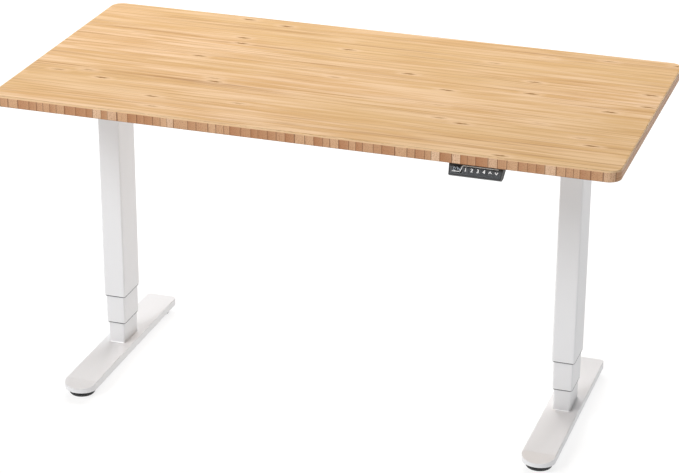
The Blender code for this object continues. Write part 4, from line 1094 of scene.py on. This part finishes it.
@dataclass
class Foot:
    """One foot with its screws and its two levelling glides."""

    side: str
    grip_ribs: int = 40
    stud: float = 4.0
    thread_pitch: float = 1.25
    rib_deep: float = 0.45
    stud_root: float = 0.2
    screw_out: tuple[float, float] = (12.0, 28.0)

    def build(self) -> None:
        """Dresses the foot, replaces its glides and adds the screws under the column."""
        dress(COAT, f"{self.side}_foot")
        for end in ENDS:
            self.add_glide(end)
        low, high = box_mm(f"{self.side}_lower_tube")
        level = box_mm(f"{self.side}_foot")[0][2]
        places = at_corners(Facing.DOWN, (low + high) / 2, self.screw_out, level)
        add_piece(f"{self.side}_foot_screws", Screw.FOOT.heads(places), STEEL, f"{self.side}_base")

    def add_glide(self, end: str) -> None:
        """Adds one glide: a rubber pad, a moulded disc with a ribbed grip and hub, and its threaded stud.

        The disc's radius is R - d (1 - cos(n angle)) in the rows of its grip, with n ribs of depth d.

        Args:
            end: which end of the foot it is under.
        """
        node = f"{end}_{self.side}_glide"
        body = f"{end}_{self.side}_foot_glide"
        low, high = box_mm(node)
        hub = box_mm(f"{self.side}_foot")[0][2] - low[2] - 0.3
        middle = (low + high) / 2
        place = Facing.UP.at(middle[0], middle[1], low[2])
        rim = (high[0] - low[0]) / 2
        pad = turned([(0.0, 0.0), (rim - 3.6, 0.0), (rim - 2.2, 0.5), (rim - 1.6, 2.2), (0.0, 2.2)], 48)
        add_piece(f"{node}_pad", pad.placed(place), RUBBER, body)
        rows = np.array(
            [(0.0, 2.25, 0), (rim - 1.4, 2.25, 0), (rim - 0.3, 2.8, 1), (rim, 3.4, 1), (rim, 6.3, 1),
             (rim - 0.5, 7.4, 1), (rim - 2.2, 8.7, 0.3), (rim - 4.5, 9.4, 0), (13.0, 9.6, 0),
             (11.0, 9.9, 0), (10.2, hub - 1.1, 0), (9.8, hub - 0.1, 0), (0.0, hub, 0)]
        )
        steps = 4 * self.grip_ribs
        angle = np.arange(steps) * 2 * np.pi / steps
        ribs = self.rib_deep * (1 - np.cos(self.grip_ribs * angle))
        radius = rows[:, :1] - rows[:, 2:] * ribs
        height = np.broadcast_to(rows[:, 1:2], radius.shape)
        disc = Shell.of_grid(np.stack([radius * np.cos(angle), radius * np.sin(angle), height], axis=-1))
        made = add_piece(f"{node}_disc", disc.placed(place), GLIDE_ABS, body)
        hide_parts(node)
        root = self.stud_root
        stud = threaded(self.stud, 0.6, self.thread_pitch, high[2] - low[2] - hub + root)
        add_piece(f"{node}_stud", stud.placed(moved(place, 2, hub - root)), STEEL, body)


@dataclass
class ControlBox:
    """The control box with its inlet, its lead boots and its lamp."""

    ribs: int = 14
    rib_pitch: float = 6.0
    rib_size: tuple[float, ...] = (2.6, 62.0, 1.2, 0.9, 0.5)
    lead_radii: tuple[float, ...] = (2.5, 2.0, 2.5)
    lead_xs: tuple[float, ...] = (-60.0, 0.0, 60.0)
    lead_level: float = 696.0
    boot_root: float = 4.9
    boot_long: float = 15.0
    screw_out: tuple[float, float] = (130.0, 32.0)
    cover_inset: float = 9.0
    lamp_x: float = 30.0

    def build(self) -> None:
        """Dresses the box and adds its ribs, screws, boots and lamp."""
        dress(BLACK_ABS, "control_box_base", "control_box_cover", "mains_inlet")
        dress(BOARD, "control_board")
        low, high = box_mm("control_box_cover")
        middle = (low + high) / 2
        self.add_ribs(middle, low[2])
        places = at_corners(Facing.DOWN, middle, self.screw_out, box_mm("control_box_base")[0][2])
        add_piece("control_box_screws", Screw.BOX.heads(places), STEEL)
        places = at_corners(Facing.DOWN, middle, high - middle - self.cover_inset, low[2])
        add_piece("control_box_cover_screws", Screw.COVER.heads(places), BLACK_SCREW)
        boots = [
            strain_relief(radius, self.boot_root, self.boot_long).placed(self.on_front(x, low[1]))
            for radius, x in zip(self.lead_radii, self.lead_xs)
        ]
        add_piece("control_box_lead_boots", joined(boots), LEAD_PVC)
        lamp = turned([(0.0, -0.2), (1.9, -0.2), (1.9, 0.3), (1.5, 0.9), (0.8, 1.2), (0.0, 1.3)], 20)
        spot = self.on_front(middle[0] + self.lamp_x, low[1])
        add_piece("control_box_lamp", lamp.placed(spot), GREEN_LAMP)

    def on_front(self, x: float, y: float) -> np.ndarray:
        """The placement on the box's front wall at the leads' height."""
        return Facing.FRONT.at(x, y, self.lead_level)

    def add_ribs(self, middle: np.ndarray, level: float) -> None:
        """Adds a row of ribs under the cover."""
        start = middle[0] - (self.ribs - 1) * self.rib_pitch / 2
        places = [Facing.DOWN.at(start + n * self.rib_pitch, middle[1], level) for n in range(self.ribs)]
        add_piece("control_box_ribs", pillow(*self.rib_size).repeated(places), BLACK_ABS)


@dataclass
class Keypad:
    """The keypad under the desktop's front edge: its panel, its marks and its display."""

    run: float = 15.9
    rise: float = 24.7
    first_key: float = -20.8
    key_pitch: float = 13.1
    key_row: float = 13.4
    mark_tall: float = 7.4
    letter_share: float = 1.35
    stroke_spread: float = 0.34
    ink: float = 0.06
    line_width: float = 1.7
    line_low: float = 8.6
    line_high: float = 21.6
    line_span: tuple[float, float] = (-49.0, 48.5)
    bend_span: tuple[float, float] = (-32.5, -27.0)
    display_x: float = -39.7
    digit_tall: float = 6.6
    digit_wide: float = 3.4
    digit_pitch: float = 5.0
    shown: str = "074"
    screw_x: float = 45.0
    flange_inset: float = 10.0
    flange_thick: float = 3.0
    lead_x: float = -30.0
    boot: tuple[float, float, float] = (2.0, 4.2, 8.0)
    boot_back: float = 13.5
    boot_drop: float = 14.7

    def build(self) -> None:
        """Dresses the keypad and adds its marks, display digits, screws and lead boot."""
        dress(BLACK_ABS, "keypad_housing")
        dress(CHARCOAL_ABS, "keypad_faceplate", *(f"key_{n}" for n in (1, 2, 3, 4, "up", "down")))
        dress(WINDOW, "keypad_display")
        dress(BOARD, "keypad_board")
        for index, name in enumerate(("1", "2", "3", "4")):
            self.add_number(name, self.first_key + index * self.key_pitch)
        for index, (name, sign) in enumerate((("up", 1), ("down", -1)), 4):
            self.add_arrow(name, self.first_key + index * self.key_pitch, sign)
        self.add_line()
        self.add_digits()
        self.add_screws()

    def face(self, x: float = 0.0, y: float = 0.0, out: float = 0.0) -> np.ndarray:
        """The placement on the face at x from its middle and y up its slope, with Z outwards."""
        low, high = box_mm("keypad_housing")
        slope = math.hypot(self.run, self.rise)
        across, up = np.array([1.0, 0.0, 0.0]), np.array([0.0, self.run, self.rise]) / slope
        outward = np.cross(across, up)
        origin = np.array([(low[0] + high[0]) / 2, low[1], high[2] - self.rise])
        placed = np.eye(4)
        placed[:3, :3] = np.column_stack([across, up, outward])
        placed[:3, 3] = origin + across * x + up * y + outward * out
        return placed

    def add_number(self, text: str, x: float) -> None:
        """Prints one key's number."""
        words = bpy.data.curves.new(f"mark_{text}", "FONT")
        words.body = text
        words.size = self.mark_tall * self.letter_share * MM
        words.extrude = self.ink * MM / 2
        words.offset = self.stroke_spread * MM
        words.resolution_u = 6
        words.align_x = "CENTER"
        words.align_y = "CENTER"
        drawn = bpy.data.objects.new(f"mark_{text}", words)
        bpy.context.scene.collection.objects.link(drawn)
        graph = bpy.context.evaluated_depsgraph_get()
        mesh = bpy.data.meshes.new_from_object(drawn.evaluated_get(graph))
        bpy.data.objects.remove(drawn)
        place = self.face(x, self.key_row, self.ink / 2)
        place[:3, 3] *= MM
        mesh.transform(Matrix(place.tolist()))
        finish_mesh(mesh)
        mesh.materials.clear()
        settle(f"key_{text}_mark", mesh, PRINT, f"key_{text}_cap")

    def add_arrow(self, name: str, x: float, sign: int) -> None:
        """Prints an up or down arrowhead: two straight strokes that meet at its tip."""
        half = 3.0
        path = np.array([(-half, -1.9), (0.0, 2.1), (half, -1.9)]) * (1, sign)
        fine = np.linspace(0.0, 2.0, 9)
        path = np.column_stack([np.interp(fine, np.arange(3), path[:, k]) for k in (0, 1)])
        mark = ribbon(path, 1.9, 0.0, self.ink).placed(self.face(x, self.key_row))
        add_piece(f"key_{name}_mark", mark, PRINT, f"key_{name}_cap")

    def add_line(self) -> None:
        """Prints the long line that runs under the display and over the keys.

        Its height is low + (high - low) s, where s is 3u^2 - 2u^3 and u goes from 0 to 1 across the bend.
        """
        start, end = self.bend_span
        before, after = np.linspace(self.line_span[0], start, 6), np.linspace(end, self.line_span[1], 12)
        x = np.concatenate([before[:-1], np.linspace(start, end, 25), after[1:]])
        u = np.clip((x - start) / (end - start), 0.0, 1.0)
        y = self.line_low + (self.line_high - self.line_low) * (3 * u**2 - 2 * u**3)
        path = np.column_stack([x, y])
        line = ribbon(path, self.line_width, 0.0, self.ink).placed(self.face())
        add_piece("keypad_line", line, PRINT)

    def add_digits(self) -> None:
        """Lights the display's height in centimetres, each digit from its seven bars."""
        half, tall = self.digit_wide / 2, self.digit_tall / 2
        bars = {
            "a": ((-half, tall), (half, tall)),
            "b": ((half, tall), (half, 0)),
            "c": ((half, 0), (half, -tall)),
            "d": ((-half, -tall), (half, -tall)),
            "e": ((-half, 0), (-half, -tall)),
            "f": ((-half, tall), (-half, 0)),
            "g": ((-half, 0), (half, 0)),
        }
        lit = {"0": "abcdef", "7": "abc", "4": "bcfg"}
        made = []
        for index, digit in enumerate(self.shown):
            x = self.display_x + (index - 1) * self.digit_pitch
            for bar in lit[digit]:
                ends = np.array(bars[bar], float)
                middle = ends.mean(axis=0)
                path = middle + np.linspace(-0.41, 0.41, 5)[:, None] * (ends[1] - ends[0])
                made.append(ribbon(path, 0.95, 0.0, 0.08).placed(self.face(x, self.key_row)))
        add_piece("display_digits", joined(made), DISPLAY_GLOW)

    def add_screws(self) -> None:
        """Adds the two wood screws in the flange and the boot where the lead leaves the housing."""
        low, high = box_mm("keypad_housing")
        middle, inset, level = (low[0] + high[0]) / 2, self.flange_inset, high[2] - self.flange_thick
        places = [Facing.DOWN.at(middle + x, high[1] - inset, level) for x in (-self.screw_x, self.screw_x)]
        add_piece("keypad_screws", Screw.KEYPAD.heads(places), BLACK_SCREW)
        back = box_mm("keypad_lead")[0][1] + self.boot_back
        root = Facing.REAR.at(middle + self.lead_x, back, high[2] - self.boot_drop)
        add_piece("keypad_lead_boot", strain_relief(*self.boot).placed(root), LEAD_PVC)


@dataclass
class Leads:
    """The motor leads along the rear rail, and the keypad's lead under the desktop, with their clips."""

    clip_xs: tuple[float, ...] = (-340.0, -250.0, -160.0, 160.0, 250.0, 340.0)
    clip_level: float = 680.0
    clip_wide: float = 8.0
    clip_foot: float = 5.0
    lead: float = 2.5
    gap: float = 1.0

    def build(self) -> None:
        """Dresses the leads and adds their clips on the rear rail's inner side."""
        dress(LEAD_PVC, "left_motor_lead", "right_motor_lead", "keypad_lead")
        centre = box_mm("rear_rail_outer")[0][1] - self.lead - self.gap
        places = [Facing.REAR.at(x, centre, self.clip_level) for x in self.clip_xs]
        clip = clip_shell(self.lead, self.gap, self.clip_wide, self.clip_foot)
        add_piece("motor_lead_clips", clip.repeated(places), BLACK_ABS)


@dataclass
class Studio:
    """The pale floor, the soft lights and the camera."""

    camera_at: tuple[float, float, float] = (1.505, -4.603, 2.468)
    yaw: float = 0.315
    pitch: float = 0.413
    roll: float = 0.006
    lens: float = 122.14
    shift: tuple[float, float] = (-0.0072, 0.0068)
    reach: float = 14000.0
    dome: float = 13500.0
    room_light: float = 0.16
    aim: tuple[float, float, float] = (0.0, 0.0, 0.45)
    rear_window: tuple = ((-1.0, 4.3, 3.5), (5.4, 2.0), 500.0)
    front_window: tuple = ((-3.9, -5.1, 5.5), (3.4, 3.4), 425.0)

    def build(self) -> None:
        """Sets the camera, the floor and the lights."""
        self.add_camera()
        self.add_floor()
        self.add_backdrop()
        self.light_room()
        self.add_window("rear_window", *self.rear_window).visible_glossy = False
        self.add_window("front_window", *self.front_window)

    def add_camera(self) -> None:
        """Looks down at the desk's front from its right-hand side."""
        held = bpy.data.cameras.new("camera")
        held.lens = self.lens
        held.shift_x, held.shift_y = self.shift
        held.clip_end = 100.0
        camera = bpy.data.objects.new("camera", held)
        bpy.context.scene.collection.objects.link(camera)
        level = math.cos(self.pitch)
        forward = np.array([-math.sin(self.yaw) * level, math.cos(self.yaw) * level, -math.sin(self.pitch)])
        right = np.array([math.cos(self.yaw), math.sin(self.yaw), 0.0])
        up = np.cross(right, forward)
        rolled = math.cos(self.roll) * right + math.sin(self.roll) * up
        place = np.eye(4)
        place[:3, :3] = np.column_stack([rolled, np.cross(rolled, forward), -forward])
        place[:3, 3] = self.camera_at
        camera.matrix_world = Matrix(place.tolist())
        bpy.context.scene.camera = camera

    def add_stage(self, name: str, shell: Shell, values: dict) -> bpy.types.Object:
        """Adds a piece of the studio.

        Args:
            name: its name.
            shell: its surface in millimetres.
            values: its shader's values by socket name.

        Returns:
            The object.
        """
        mesh = bpy.data.meshes.new(name)
        mesh.from_pydata((shell.points * MM).tolist(), [], shell.faces.tolist())
        finish_mesh(mesh)
        material = bpy.data.materials.new(f"studio_{name}")
        material.use_nodes = True
        fill(material.node_tree, material.node_tree.nodes["Principled BSDF"], values)
        mesh.materials.append(material)
        staged = bpy.data.objects.new(name, mesh)
        bpy.context.scene.collection.objects.link(staged)
        return staged

    def add_floor(self) -> None:
        """Lays a wide floor of white acrylic lit from below, so that shadows on it stay pale."""
        signs = np.array([(-1, -1, 0), (1, -1, 0), (1, 1, 0), (-1, 1, 0)])
        values = {
            "Base Color": linear("#7C7C7C"),
            "Roughness": 0.9,
            "Specular IOR Level": 0.1,
            "Emission Color": linear("#FFFFFF"),
            "Emission Strength": 0.80,
        }
        self.add_stage("floor", Shell(signs * self.reach, np.array([(0, 1, 2, 3)])), values)

    def add_backdrop(self) -> None:
        """Hangs an even white dome that shows behind the desk from every side and lights nothing."""
        rise = np.linspace(0.0, np.pi / 2, 9)[:-1]
        rows = [(0.0, -1.0), *zip(self.dome * np.cos(rise), self.dome * np.sin(rise)), (0.0, self.dome)]
        black, white = linear("#000000"), linear("#FDFDFD")
        values = {"Base Color": black, "Emission Color": white, "Emission Strength": 1.0}
        dome = self.add_stage("backdrop", turned(rows, 48), values)
        for ray in ("diffuse", "glossy", "shadow", "transmission"):
            setattr(dome, f"visible_{ray}", False)

    def light_room(self) -> None:
        """Gives the room its even white light, and shows colours without a film's contrast."""
        scene = bpy.context.scene
        scene.view_settings.view_transform = "Standard"
        world = bpy.data.worlds.new("room")
        world.use_nodes = True
        sky = world.node_tree.nodes["Background"]
        sky.inputs["Color"].default_value = linear("#FFFFFF")
        sky.inputs["Strength"].default_value = self.room_light
        scene.world = world

    def add_window(self, name: str, at: tuple, size: tuple, power: float) -> bpy.types.Object:
        """Hangs a soft rectangular light that faces the desk.

        Args:
            name: its name.
            at: its place in metres.
            size: its width and height in metres.
            power: its power in watts.

        Returns:
            The light.
        """
        lamp = bpy.data.lights.new(name, "AREA")
        lamp.shape = "RECTANGLE"
        lamp.size, lamp.size_y = size
        lamp.energy = power
        held = bpy.data.objects.new(name, lamp)
        bpy.context.scene.collection.objects.link(held)
        held.location = at
        held.rotation_euler = (Vector(self.aim) - Vector(at)).to_track_quat("-Z", "Y").to_euler()
        return held


def main() -> None:
    """Builds every sub-assembly in order."""
    logging.basicConfig(level=logging.INFO, format="%(name)s: %(message)s")
    parts = [Studio(), Desktop(), RailFrame()]
    for side, sign in SIDES.items():
        parts += [Column(side, sign), Drive(side, sign), Foot(side)]
    parts += [ControlBox(), Keypad(), Leads()]
    for part in parts:
        log.info("building %s", type(part).__name__)
        part.build()
    bpy.context.view_layer.update()


if __name__ == "__main__":
    main()
